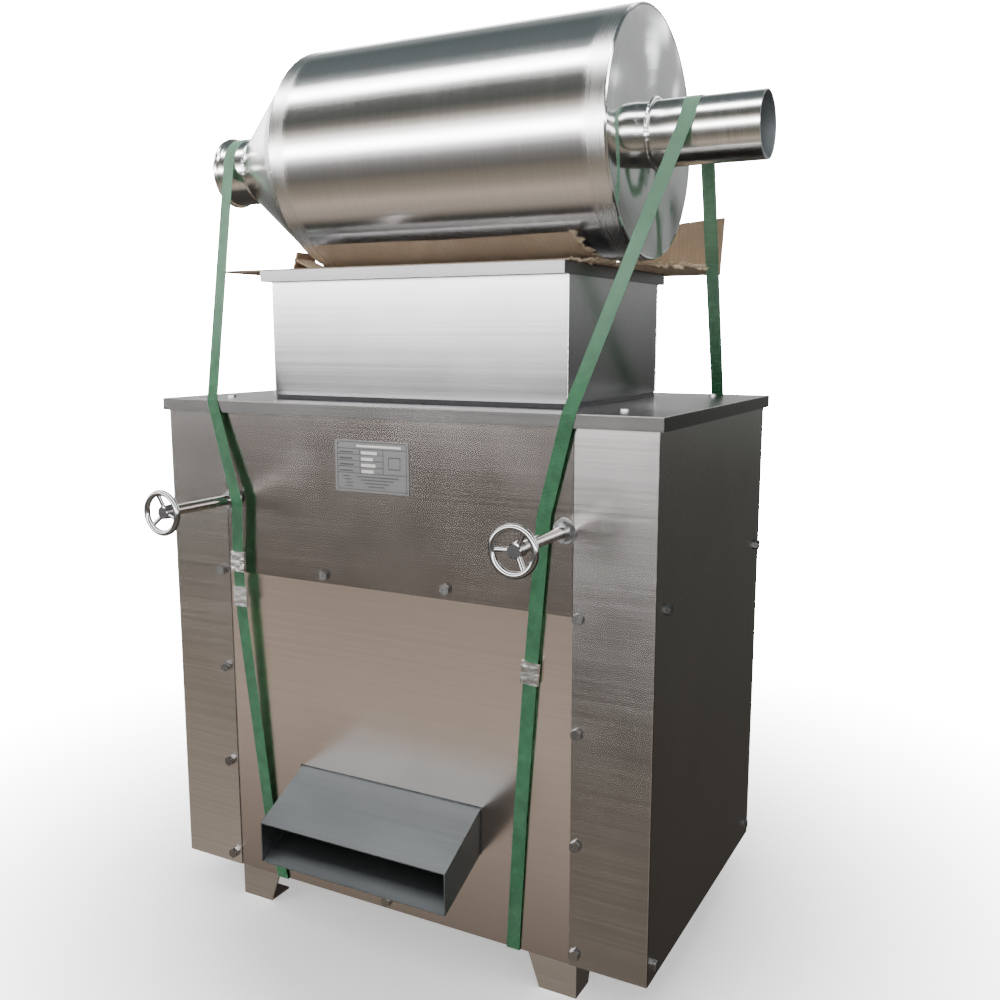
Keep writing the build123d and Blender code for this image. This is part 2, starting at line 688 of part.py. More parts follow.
def trough_sector(start, end, row):
    """A stretch of the screen's round sheet between two angles, with its row of holes."""
    r = SCREEN_R + SCREEN_T
    ring = rod_x(-SCREEN_X, SCREEN_X, 0, BEATER_Z, r)
    ring -= rod_x(-SCREEN_X - 1, SCREEN_X + 1, 0, BEATER_Z, SCREEN_R)
    wedge = [(0, BEATER_Z)]
    for angle in (start, end):
        wedge.append((2 * r * math.cos(angle), BEATER_Z + 2 * r * math.sin(angle)))
    sector = ring & prism_x(wedge, -SCREEN_X - 1, SCREEN_X + 1)
    aim = math.radians(198 + SCREEN_ROW_ANGLE * row)
    direction = (0, math.cos(aim), math.sin(aim))
    for column in range(12):
        x = -SCREEN_X + 30 + 45.5 * column + (7 if row % 2 else -7)
        place = Plane(origin=(x, 0, BEATER_Z), z_dir=direction)
        sector -= extrude(place.offset(SCREEN_R - 12) * Circle(13), 24)
    return sector


def destemming_screen():
    """A perforated half round trough of rolled strips with tall sides, open at the top."""
    r = SCREEN_R + SCREEN_T
    strips = []
    for row in range(SCREEN_ROWS):
        start = 180 if row == 0 else 186 + SCREEN_ROW_ANGLE * row
        end = 360 if row == SCREEN_ROWS - 1 else 210 + SCREEN_ROW_ANGLE * row
        strips.append(trough_sector(math.radians(start), math.radians(end), row))
    front_wall = box(-SCREEN_X, SCREEN_X, -r, -SCREEN_R, BEATER_Z, SCREEN_TOP)
    x0, x1 = STEM_X[0] + 2, STEM_X[1] - 2
    rear_wall = [
        box(-SCREEN_X, x0, SCREEN_R, r, BEATER_Z, SCREEN_TOP),
        box(x1, SCREEN_X, SCREEN_R, r, BEATER_Z, SCREEN_TOP),
        box(x0, x1, SCREEN_R, r, BEATER_Z, STEM_Z[0] + 2),
        box(x0, x1, SCREEN_R, r, STEM_Z[1] - 2, SCREEN_TOP),
    ]
    return [*strips, front_wall, *rear_wall]


def slanted_duct(x0, x1, start, end, t):
    """A rectangular duct; start and end are (y, bottom z, top z)."""
    y0, low0, high0 = start
    y1, low1, high1 = end
    outer = prism_x([(y0, low0), (y1, low1), (y1, high1), (y0, high0)], x0, x1)
    more = 5.0
    slope_low = (low1 - low0) / (y1 - y0) * more
    slope_high = (high1 - high0) / (y1 - y0) * more
    inner = prism_x([(y0 - more, low0 - slope_low + t), (y1 + more, low1 + slope_low + t),
                     (y1 + more, high1 + slope_high - t), (y0 - more, high0 - slope_high - t)],
                    x0 + t, x1 - t)
    return outer - inner


def stem_chute():
    """The stem outlet, from the screen's rear wall out through the back panel."""
    r = SCREEN_R + SCREEN_T + 0.4
    return slanted_duct(STEM_X[0], STEM_X[1], (r, STEM_Z[0], STEM_Z[1]),
                        (STEM_END_Y, STEM_Z[0] - STEM_DROP, STEM_Z[1] - STEM_DROP), SHEET)


def must_tray():
    """A sloping tray under the screen: floor, end walls, back and a front open at the chute."""
    (yb, zb), (yf, zf) = TRAY_BACK, TRAY_FRONT
    t = SHEET
    rise = (zb - zf) / (yb - yf) * t
    out = PLATE_X - 1
    side_profile = [(yf, zf), (yb, zb), (yb, zb + 45), (yf, zf + 80)]
    floor_profile = [(yf, zf), (yb, zb), (yb, zb + t), (yf, zf + t)]
    back_profile = [(yb - t, zb + t - rise), (yb, zb + t), (yb, zb + 45), (yb - t, zb + 45)]
    front_profile = [(yf, zf + t), (yf + t, zf + t + rise), (yf + t, zf + 80), (yf, zf + 80)]
    chute_left, chute_right = CHUTE_X[0] + t, CHUTE_X[1] - t
    return [
        prism_x(side_profile, -out, -out + t),
        prism_x(side_profile, out - t, out),
        prism_x(floor_profile, -out + t, out - t),
        prism_x(back_profile, -out + t, out - t),
        prism_x(front_profile, -out + t, chute_left),
        prism_x(front_profile, chute_right, out - t),
        box(chute_left, chute_right, yf, yf + t, CHUTE_PANEL_Z[1], zf + 80),
    ]


def discharge_chute():
    """The must chute: a slanted duct with a flange behind the front panel."""
    y0 = STRIP_Y + 2 * PANEL_SHEET + 0.2
    mouth = FRONT - CHUTE_OUT
    duct = slanted_duct(CHUTE_X[0], CHUTE_X[1], (mouth, CHUTE_MOUTH_Z[0], CHUTE_MOUTH_Z[1]),
                        (y0 + SHEET, CHUTE_PANEL_Z[0], CHUTE_PANEL_Z[1]), SHEET)
    flange = box(CHUTE_X[0] - 15, CHUTE_X[1] + 15, y0, y0 + SHEET,
                 CHUTE_PANEL_Z[0] - 15, CHUTE_PANEL_Z[1] + 15)
    flange -= box(CHUTE_X[0] + SHEET, CHUTE_X[1] - SHEET, y0 - 1, y0 + 3,
                  CHUTE_PANEL_Z[0] + SHEET, CHUTE_PANEL_Z[1] - SHEET)
    return duct + flange


# ---- motor ----

def motor_body():
    """A finned barrel with a front shield."""
    x0, x1 = MOTOR_X
    barrel = rod_x(x0, x1, MOTOR_Y, MOTOR_Z, MOTOR_R - 9)
    fins = 24
    for k in range(fins):
        fin = box(x0 + 8, x1 - 8, -1.5, 1.5, MOTOR_R - 14, MOTOR_R)
        barrel += Pos(0, MOTOR_Y, MOTOR_Z) * Rot(360 / fins * (k + 0.5), 0, 0) * fin
    shield = turned_x([(x1, 0), (x1, MOTOR_R - 2), (x1 + 6, MOTOR_R - 4), (x1 + 14, 34),
                       (x1 + 20, 30), (x1 + 20, 0)], MOTOR_Y, MOTOR_Z)
    return barrel + shield - rod_x(x1 - 30, x1 + 30, MOTOR_Y, MOTOR_Z, 12 + RUN_FIT)


def motor_fan_cover():
    x0 = MOTOR_X[0]
    cover = turned_x([(x0, 0), (x0, MOTOR_R), (x0 - 40, MOTOR_R), (x0 - 48, MOTOR_R - 10),
                      (x0 - 48, 0)], MOTOR_Y, MOTOR_Z)
    return cover


def motor_terminal_box():
    y1 = MOTOR_Y - MOTOR_R
    return fillet(box(30, 120, y1 - 36, y1, MOTOR_Z - 30, MOTOR_Z + 34).edges(), 3.0)


def motor_base():
    """Two saddles on a plate, under the barrel."""
    z0 = LEG_H + 2
    base = box(MOTOR_X[0] + 20, MOTOR_X[1] - 20, MOTOR_Y - 70, MOTOR_Y + 70, z0, z0 + 6)
    for x in (MOTOR_X[0] + 40, MOTOR_X[1] - 60):
        base += box(x, x + 20, MOTOR_Y - 60, MOTOR_Y + 60, z0 + 6, MOTOR_Z - 40)
    return base - rod_x(-200, 300, MOTOR_Y, MOTOR_Z, MOTOR_R + 0.2)


def motor_shaft():
    return rod_x(MOTOR_X[1] - 28, BEATER_BELT_X + 16, MOTOR_Y, MOTOR_Z, 12)


# ---- drum ----

def drum_shell():
    x0, x1 = DRUM_X
    return turned_x([(x0, DRUM_R - DRUM_T), (x0, DRUM_R), (x1, DRUM_R), (x1, DRUM_R - DRUM_T)],
                    DRUM_Y, DRUM_Z)


def drum_cone():
    x1 = DRUM_X[0] - 0.1
    return turned_x([(CONE_X, STUB_R - DRUM_T), (CONE_X, STUB_R), (x1, DRUM_R),
                     (x1, DRUM_R - DRUM_T)], DRUM_Y, DRUM_Z)


def inlet_stub():
    """A short pipe with a rolled ring at its open end."""
    x1 = CONE_X - 0.1
    x0 = STUB_END
    return turned_x([(x1, STUB_R - DRUM_T), (x1, STUB_R), (x0 + 10, STUB_R), (x0 + 8, STUB_R + 3),
                     (x0 + 5, STUB_R + 4), (x0 + 2, STUB_R + 3.4), (x0, STUB_R + 1),
                     (x0, STUB_R - DRUM_T)], DRUM_Y, DRUM_Z)


def drum_end_plate():
    """A shallow dished plate with a rounded rim and a hole for the pipe."""
    x0 = DRUM_X[1] + 0.1
    outer = [(x0, DRUM_R - 6), (x0, DRUM_R), (x0 + 1.5, DRUM_R), (x0 + 3.0, DRUM_R - 1.5)]
    steps = 6
    hole_r = PIPE_R + 0.3
    dome = []
    for k in range(steps + 1):
        r = (DRUM_R - 4) + (hole_r - DRUM_R + 4) * k / steps
        dome.append((x0 + 2.2 + DISH * (1 - (r / DRUM_R) ** 2), r))
    inside = [(x - 1.8, r) for x, r in reversed(dome)]
    return turned_x(outer + dome + inside[:-1], DRUM_Y, DRUM_Z)


def outlet_pipe():
    x0 = DRUM_X[1] + 5
    return turned_x([(x0, PIPE_R - 2), (x0, PIPE_R), (PIPE_END, PIPE_R), (PIPE_END, PIPE_R - 2)],
                    DRUM_Y, DRUM_Z)


# ---- packing ----

def card_sheet():
    """A torn sheet of corrugated card between hopper and drum, with a flap up at the back."""
    z0 = HOPPER_RIM_Z + 0.1
    edge = [(-330, -166), (-120, -170), (60, -168), (228, -172), (246, -120), (272, -66),
            (300, -22), (322, 18), (327, 60), (328, 104), (326, 130), (318, 180), (312, 232),
            (150, 236), (-60, 228), (-318, 232), (-322, 130), (-311, 112), (-312, 70), (-331, 40)]
    sheet = prism_z(edge, z0, z0 + CARD_T)
    flap = prism_y([(140, z0), (311, z0), (316, z0 + 86), (250, z0 + 81), (170, z0 + 60)],
                   230, 230 + CARD_T)
    return sheet + flap


def strap_arc(x, y, z, r, start, end):
    """A strap's stretch round an edge or pipe: a ring sector about an axis along X."""
    def at(radius, angle):
        return (y + radius * math.cos(angle), z + radius * math.sin(angle))

    middle = (start + end) / 2
    outer = r + STRAP_T
    loop = ThreePointArc(at(r, start), at(r, middle), at(r, end))
    loop += Line(at(r, end), at(outer, end))
    loop += ThreePointArc(at(outer, end), at(outer, middle), at(outer, start))
    loop += Line(at(outer, start), at(r, start))
    plane = Plane.YZ.offset(x - STRAP_W / 2)
    return extrude(plane * make_face(loop), STRAP_W)


def strap_run(start, end, normal):
    """A strap's straight stretch: its end faces lie along X and the normal."""
    ny, nz = normal
    x, y, z = start
    half = STRAP_W / 2
    corners = [(x - half, y, z), (x + half, y, z),
               (x + half, y + STRAP_T * ny, z + STRAP_T * nz),
               (x - half, y + STRAP_T * ny, z + STRAP_T * nz)]
    face = Face(Wire.make_polygon([Vector(*c) for c in corners]))
    way = Vector(*end) - Vector(*start)
    return Solid.extrude(face, way)


def strap_loop(stations):
    """A closed strap round stations (x, y, z, r, waypoints), listed round the loop.

    The waypoints of a station are (share, x) pairs on the run to the next station, where the
    strap's sideways slant changes.
    """
    runs = []
    count = len(stations)
    for k in range(count):
        x1, y1, z1, r1, ways = stations[k]
        x2, y2, z2, r2, _ = stations[(k + 1) % count]
        dy = y2 - y1
        dz = z2 - z1
        far = math.hypot(dy, dz)
        lean = math.asin((r1 - r2) / far)
        out = math.atan2(dz, dy) - math.pi / 2 + lean
        normal = (math.cos(out), math.sin(out))
        start = (x1, y1 + r1 * normal[0], z1 + r1 * normal[1])
        end = (x2, y2 + r2 * normal[0], z2 + r2 * normal[1])
        runs.append((start, end, normal, out, ways))
    solid = None
    for k in range(count):
        start, end, normal, out, ways = runs[k]
        before = runs[k - 1][3]
        x, y, z, r, _ = stations[k]
        turn = (out - before) % (2 * math.pi)
        pieces = [strap_arc(x, y, z, r, before, before + turn)]
        here = start
        for share, way_x in list(ways) + [(1.0, end[0])]:
            there = (way_x, start[1] + (end[1] - start[1]) * share,
                     start[2] + (end[2] - start[2]) * share)
            pieces.append(strap_run(here, there, normal))
            here = there
        for piece in pieces:
            solid = piece if solid is None else solid + piece
    return solid


EDGE_R = LIP_EDGE_R + 0.1
LIP_FRONT = (-LIP_Y + LIP_EDGE_R, TOP_Z - LIP_EDGE_R)
LIP_BACK = (LIP_Y - LIP_EDGE_R, TOP_Z - LIP_EDGE_R)
LIP_LOW = TOP_Z - LIP
CORNER_R = 0.3
NUT_FRONT = STRIP_Y - 2.0 - 9.0 - 3.5


def strap_left():
    """Round the inlet stub, over both lips and under the cabinet, in front of the left nut."""
    return strap_loop([
        (-345, DRUM_Y, DRUM_Z, STUB_R + 0.1, ()),
        (-292, LIP_FRONT[0], LIP_FRONT[1], EDGE_R, ()),
        (-245.4, NUT_FRONT, SCREW_Z, CORNER_R, ((0.16, -249), (0.3, -246.5), (0.83, -216))),
        (-196, STRIP_Y, LEG_H, CORNER_R, ()),
        (-196, -STRIP_Y, LEG_H, CORNER_R, ()),
        (-300, LIP_Y, LIP_LOW, CORNER_R, ()),
        (-303, LIP_BACK[0], LIP_BACK[1], EDGE_R, ()),
    ])


def strap_right():
    """Round the outlet pipe, over both lips and under the cabinet, beside the right screw."""
    return strap_loop([
        (370, DRUM_Y, DRUM_Z, PIPE_R + 0.1, ()),
        (272, LIP_FRONT[0], LIP_FRONT[1], EDGE_R, ()),
        (268, -LIP_Y, LIP_LOW, CORNER_R, ((0.155, 240), (0.446, 221.5), (0.73, 207))),
        (196, STRIP_Y, LEG_H, CORNER_R, ()),
        (196, -STRIP_Y, LEG_H, CORNER_R, ((0.7, 262),)),
        (306, LIP_Y, LIP_LOW, CORNER_R, ()),
        (309, LIP_BACK[0], LIP_BACK[1], EDGE_R, ()),
    ])


def seal(x, z, lean, face_y):
    """A crimped metal sleeve: a face plate and two turned edges beside the strap."""
    length, width, t = SEAL
    plate = Box(width + 2 * t, t, length)
    for way in (-1, 1):
        plate += Pos(way * (width + t) / 2, 1.5, 0) * Box(t, 3.0 + t, length)
    return Pos(x, face_y - t / 2 - 0.6, z) * Rot(0, lean, 0) * plate


def strap_seals():
    run_top = NUT_FRONT - 0.4
    slope = (STRIP_Y - run_top) / (SCREW_Z - LEG_H)
    left_a = run_top + slope * (SCREW_Z - 534) - STRAP_T
    left_b = run_top + slope * (SCREW_Z - 482) - STRAP_T
    right = -LIP_Y + (LIP_Y + STRIP_Y) * (LIP_LOW - 436) / (LIP_LOW - LEG_H) - STRAP_T
    return [seal(-248.7, 534, 1.0, left_a), seal(-247.1, 482, -1.6, left_b),
            seal(221.3, 436, 4.5, right)]


def build_parts():
    """Every node's solids, in the design frame."""
    motor_centre = (MOTOR_Y, MOTOR_Z)
    beater_centre = (0.0, BEATER_Z)
    rear_centre = (REAR_Y, SCREW_Z)
    return {
        "base_plate": base_plate(),
        "feet": feet(),
        "left_side_cover": side_cover(-1),
        "right_side_cover": side_cover(1),
        "left_inner_plate": inner_plate(-1),
        "right_inner_plate": inner_plate(1),
        "front_upper_panel": front_upper_panel(),
        "front_lower_panel": front_lower_panel(),
        "front_rail": front_rail(),
        "back_panel": back_panel(),
        "top_cover": top_cover(),
        "cover_screws": cover_screws(),
        "nameplate": nameplate(),
        "nameplate_rivets": nameplate_rivets(),
        "hopper": hopper(),
        "hopper_gasket": hopper_gasket(),
        "feed_throat": feed_throat(),
        "panel_washers": panel_washers(),
        "panel_nuts": panel_nuts(),
        "left_adjusting_screw": adjusting_screw(-1),
        "right_adjusting_screw": adjusting_screw(1),
        "left_handwheel": handwheel(-1, LEFT_SPOKE),
        "right_handwheel": handwheel(1, RIGHT_SPOKE),
        "left_bearing_block": bearing_block(-1, FRONT_Y, True),
        "right_bearing_block": bearing_block(1, FRONT_Y, True),
        "block_guides": block_guides(),
        "rear_roller_bearings": [bearing_block(-1, REAR_Y, False), bearing_block(1, REAR_Y, False)],
        "front_roller": roller(FRONT_Y),
        "front_roller_shaft": front_roller_shaft(),
        "front_gear": involute_gear(FRONT_Y, 180),
        "rear_roller": roller(REAR_Y),
        "rear_roller_shaft": rear_roller_shaft(),
        "rear_gear": involute_gear(REAR_Y, 180),
        "roller_pulley": pulley(ROLLER_BELT_X, REAR_Y, SCREW_Z, ROLLER_PULLEY_R, SHAFT_R),
        "beater_shaft": beater_shaft(),
        "beater_paddles": [paddle(k) for k in range(PADDLES)],
        "beater_pulley": beater_pulley(),
        "beater_bearings": beater_bearings(),
        "destemming_screen": destemming_screen(),
        "stem_chute": stem_chute(),
        "must_tray": must_tray(),
        "discharge_chute": discharge_chute(),
        "motor_body": motor_body(),
        "motor_fan_cover": motor_fan_cover(),
        "motor_terminal_box": motor_terminal_box(),
        "motor_base": motor_base(),
        "motor_shaft": motor_shaft(),
        "motor_pulley": pulley(BEATER_BELT_X, MOTOR_Y, MOTOR_Z, MOTOR_PULLEY_R, 12),
        "beater_belt": belt(BEATER_BELT_X, motor_centre, MOTOR_PULLEY_R, beater_centre,
                            BEATER_BIG_R),
        "roller_belt": belt(ROLLER_BELT_X, beater_centre, BEATER_SMALL_R, rear_centre,
                            ROLLER_PULLEY_R),
        "drum_shell": drum_shell(),
        "drum_cone": drum_cone(),
        "inlet_stub": inlet_stub(),
        "drum_end_plate": drum_end_plate(),
        "outlet_pipe": outlet_pipe(),
        "card_sheet": card_sheet(),
        "strap_left": strap_left(),
        "strap_right": strap_right(),
        "strap_seals": strap_seals(),
    }


def main():
    os.makedirs("parts", exist_ok=True)
    for name, shape in build_parts().items():
        solids = shape if isinstance(shape, list) else [shape]
        group = Compound(children=[Location(SHIFT) * solid for solid in solids])
        export_step(group, "parts/" + name + ".step")


if __name__ == "__main__":
    main()
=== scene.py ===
import json
import math
import random

import bpy
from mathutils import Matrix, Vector


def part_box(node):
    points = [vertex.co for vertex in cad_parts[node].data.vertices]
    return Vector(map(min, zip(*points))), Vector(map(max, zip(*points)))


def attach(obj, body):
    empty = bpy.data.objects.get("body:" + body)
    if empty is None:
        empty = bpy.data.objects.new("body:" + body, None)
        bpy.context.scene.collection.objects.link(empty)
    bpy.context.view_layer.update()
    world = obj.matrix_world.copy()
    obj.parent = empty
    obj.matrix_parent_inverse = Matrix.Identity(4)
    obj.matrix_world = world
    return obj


# The looks of the grape crusher destemmer: metres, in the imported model's frame.

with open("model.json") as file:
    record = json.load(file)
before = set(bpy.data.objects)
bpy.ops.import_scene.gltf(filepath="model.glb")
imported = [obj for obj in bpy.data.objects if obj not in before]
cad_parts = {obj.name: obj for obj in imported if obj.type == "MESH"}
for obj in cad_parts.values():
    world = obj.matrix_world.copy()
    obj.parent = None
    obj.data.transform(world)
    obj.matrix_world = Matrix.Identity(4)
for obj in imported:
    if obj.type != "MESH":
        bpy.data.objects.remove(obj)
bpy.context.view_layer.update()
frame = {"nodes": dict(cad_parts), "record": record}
NODES = frame["nodes"]
SLOT_COLOUR = {m["slot"]: m["base_color"] for m in frame["record"]["materials"]}
SLOT_OF = {s["node"]: s["material_slot"] for s in frame["record"]["subparts"]}

# ---- places taken from the frame ----
SHELL_LOW, SHELL_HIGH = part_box("drum_shell")
DRUM_Y = (SHELL_LOW.y + SHELL_HIGH.y) / 2
DRUM_Z = (SHELL_LOW.z + SHELL_HIGH.z) / 2
DRUM_R = (SHELL_HIGH.z - SHELL_LOW.z) / 2
PIPE_LOW, PIPE_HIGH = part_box("outlet_pipe")
PIPE_R = (PIPE_HIGH.z - PIPE_LOW.z) / 2
STUB_LOW, STUB_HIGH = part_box("inlet_stub")
PLATE_LOW, PLATE_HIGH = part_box("nameplate")
LID_LOW, LID_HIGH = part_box("top_cover")
HOPPER_LOW, HOPPER_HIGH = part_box("hopper")
MID_X = (LID_LOW.x + LID_HIGH.x) / 2
LID_Y = (LID_LOW.y + LID_HIGH.y) / 2
SHIFT = Vector((MID_X, LID_Y, 0))
HOPPER_X = (MID_X - 0.2373, MID_X + 0.2373)
HOPPER_Y = (LID_Y - 0.1723, LID_Y + 0.1558)
STUB_R = 0.048
# The hopper's lip is 16 mm deep and the pipes' walls are 2 mm thick: both have 0.1 mm to spare here.
LIP_DEPTH = 0.0161
SKIN_INSET = 0.0021

# ---- camera ----
CAMERA_AT = (0.7507, -1.3318, 0.8604)
CAMERA_TILT = 9.06
CAMERA_TURN = 28.06
CAMERA_LENS = 37.4

# ---- light ----
# The studio seen in the metal: degrees from the front (90 is up, 180 the back, -90 down), and colour.
STUDIO = (
    (-180, (0.3, 0.31, 0.3)), (-172, (0.1, 0.1, 0.09)), (-150, (0.085, 0.075, 0.065)),
    (-120, (0.06, 0.055, 0.05)), (-100, (0.07, 0.065, 0.06)), (-82, (0.085, 0.075, 0.07)),
    (-74, (0.06, 0.06, 0.055)), (-65, (0.48, 0.41, 0.35)), (-50, (0.72, 0.6, 0.5)),
    (-40, (0.42, 0.36, 0.29)), (-31, (0.3, 0.26, 0.21)), (-24, (0.2, 0.185, 0.17)),
    (-16, (0.28, 0.27, 0.26)), (-9, (0.55, 0.54, 0.54)), (-2, (2.4, 2.35, 2.4)),
    (6, (24.0, 24.0, 24.0)), (14, (5.0, 5.0, 4.9)), (21, (1.2, 1.1, 1.0)),
    (28, (0.3, 0.28, 0.25)), (36, (0.13, 0.14, 0.13)), (50, (0.2, 0.2, 0.19)),
    (58, (1.5, 1.5, 1.5)), (65, (26.0, 26.0, 26.0)), (71, (14.0, 14.0, 14.2)),
    (78, (0.6, 0.64, 0.66)), (91, (0.2, 0.23, 0.24)), (120, (0.14, 0.17, 0.175)),
    (140, (0.5, 0.53, 0.54)), (149, (6.0, 6.1, 6.1)), (155, (6.0, 6.1, 6.1)),
    (161, (0.7, 0.72, 0.7)), (180, (0.3, 0.31, 0.3)),
)
SKY_LOW = (0.2, 0.19, 0.18)
SKY_HIGH = (0.45, 0.47, 0.48)
BACKDROP = 40.0
FLOOR_HALF = 30.0

# ---- surfaces ----
LONG_GRAIN = 1.5
FINE_GRAIN = 260.0
# Which way a surface smears its reflections: the axis of its tangent, and a turn from it.
TANGENT = {"x": ("Z", 0.25), "z": ("Z", 0.0), "around": ("X", 0.25), "rings": ("X", 0.25)}
STRAP_EMBOSSING = 0.0032
FLUTE_PITCH = 0.0072

# ---- added pieces ----
INK_PROUD = 0.00008
FIELD_PROUD = 0.00006
RULE = 0.016
BEAD_ROWS = 60
BEAD_SIDES = 8
# The card's torn front right edge, from the middle of the lid.
CARD_EDGE = ((0.228, -0.172), (0.246, -0.12), (0.272, -0.066), (0.3, -0.022), (0.322, 0.018),
             (0.327, 0.06), (0.328, 0.1))
TEAR_STEP = 0.006
FOLD_THICK = 0.0028


def add_camera():
    data = bpy.data.cameras.new("camera")
    data.lens = CAMERA_LENS
    data.sensor_width = 36.0
    camera = bpy.data.objects.new("camera", data)
    camera.location = CAMERA_AT
    camera.rotation_euler = (math.radians(90 - CAMERA_TILT), 0, math.radians(CAMERA_TURN))
    bpy.context.scene.collection.objects.link(camera)
    bpy.context.scene.camera = camera


# ---- node helpers ----

class Graph:
    """A short way to write shader nodes."""

    def __init__(self, tree):
        self.tree = tree
        self.tree.nodes.clear()

    def node(self, kind, **settings):
        made = self.tree.nodes.new(kind)
        for key, value in settings.items():
            setattr(made, key, value)
        return made

    def link(self, source, target):
        self.tree.links.new(source, target)

    def put(self, socket, value):
        """Links an output, or sets a plain value."""
        if isinstance(value, bpy.types.NodeSocket):
            self.link(value, socket)
        elif isinstance(value, (tuple, list)) and len(value) == 3 and socket.type == "RGBA":
            socket.default_value = (*value, 1.0)
        else:
            socket.default_value = value

    def math(self, operation, a, b=0.0):
        made = self.node("ShaderNodeMath", operation=operation)
        self.put(made.inputs[0], a)
        self.put(made.inputs[1], b)
        return made.outputs[0]

    def vector(self, x, y, z):
        made = self.node("ShaderNodeCombineXYZ")
        for socket, value in zip(made.inputs, (x, y, z)):
            self.put(socket, value)
        return made.outputs[0]

    def noise(self, vector, scale, detail=2.0, roughness=0.5, distortion=0.0):
        made = self.node("ShaderNodeTexNoise")
        self.put(made.inputs["Vector"], vector)
        made.inputs["Scale"].default_value = scale
        made.inputs["Detail"].default_value = detail
        made.inputs["Roughness"].default_value = roughness
        made.inputs["Distortion"].default_value = distortion
        return made.outputs["Fac"]

    def stretch(self, value, low, high, to_low=0.0, to_high=1.0):
        made = self.node("ShaderNodeMapRange")
        self.put(made.inputs[0], value)
        for socket, number in zip(made.inputs[1:5], (low, high, to_low, to_high)):
            socket.default_value = number
        return made.outputs[0]

    def mix(self, factor, a, b, blend="MIX"):
        made = self.node("ShaderNodeMix", data_type="RGBA", blend_type=blend)
        self.put(made.inputs[0], factor)
        self.put(made.inputs[6], a)
        self.put(made.inputs[7], b)
        return made.outputs[2]

    def ramp(self, value, stops):
        made = self.node("ShaderNodeValToRGB")
        self.put(made.inputs[0], value)
        ramp = made.color_ramp
        for element, (place, colour) in zip(ramp.elements, (stops[0], stops[-1])):
            element.position = place
            element.color = (*colour, 1)
        for place, colour in stops[1:-1]:
            ramp.elements.new(place).color = (*colour, 1)
        return made.outputs[0]

    def scale(self, vector, x, y, z):
        """Three coordinates, each times a number."""
        parts = [self.math("MULTIPLY", value, number) for value, number in zip(vector, (x, y, z))]
        return self.vector(*parts)

    def bump(self, height, distance):
        made = self.node("ShaderNodeBump")
        made.inputs["Strength"].default_value = 1.0
        made.inputs["Distance"].default_value = distance
        self.put(made.inputs["Height"], height)
        return made.outputs[0]


def new_material(name):
    material = bpy.data.materials.new(name)
    material.use_nodes = True
    graph = Graph(material.node_tree)
    surface = graph.node("ShaderNodeBsdfPrincipled")
    output = graph.node("ShaderNodeOutputMaterial")
    graph.link(surface.outputs[0], output.inputs[0])
    return material, graph, surface


def shade(colour, factor):
    return tuple(min(1.0, c * factor) for c in colour[:3])


def place_parts(graph):
    """The object coordinates, whole and as x, y, z."""
    coordinates = graph.node("ShaderNodeTexCoord").outputs["Object"]
    split = graph.node("ShaderNodeSeparateXYZ")
    graph.link(coordinates, split.inputs[0])
    return coordinates, split.outputs[0], split.outputs[1], split.outputs[2]


def grain_vector(graph, grain, parts):
    """Coordinates in which noise is stretched along the brushing."""
    x, y, z = parts[1:]
    if grain == "x":
        return graph.scale((x, y, z), LONG_GRAIN, FINE_GRAIN, FINE_GRAIN)
    if grain == "z":
        return graph.scale((x, y, z), FINE_GRAIN, FINE_GRAIN, LONG_GRAIN)
    off_y = graph.math("SUBTRACT", y, DRUM_Y)
    off_z = graph.math("SUBTRACT", z, DRUM_Z)
    angle = graph.math("ARCTAN2", off_z, off_y)
    turned = graph.math("MULTIPLY", angle, 0.5)
    if grain == "around":
        return graph.vector(graph.math("MULTIPLY", x, FINE_GRAIN), turned, 0.0)
    squares = graph.math("ADD", graph.math("MULTIPLY", off_y, off_y),
                         graph.math("MULTIPLY", off_z, off_z))
    radius = graph.math("SQRT", squares)
    return graph.vector(graph.math("MULTIPLY", radius, FINE_GRAIN), turned, 0.0)


def hand_brushed(graph, parts, bands):
    """How much of each point lies in a ring round the drum that was brushed by hand after welding."""
    x = parts[1]
    ragged = graph.stretch(graph.noise(graph.scale(parts[1:], 900.0, 9.0, 9.0), 1.0, 3.0, 0.7),
                           0.3, 0.7, 0.4, 0.9)
    total = 0.0
    for centre, half in bands:
        off = graph.math("ABSOLUTE", graph.math("SUBTRACT", x, centre))
        inside = graph.stretch(off, half * 0.75, half * 1.1, 1.0, 0.0)
        total = graph.math("MAXIMUM", total, graph.math("MULTIPLY", inside, ragged))
    return total


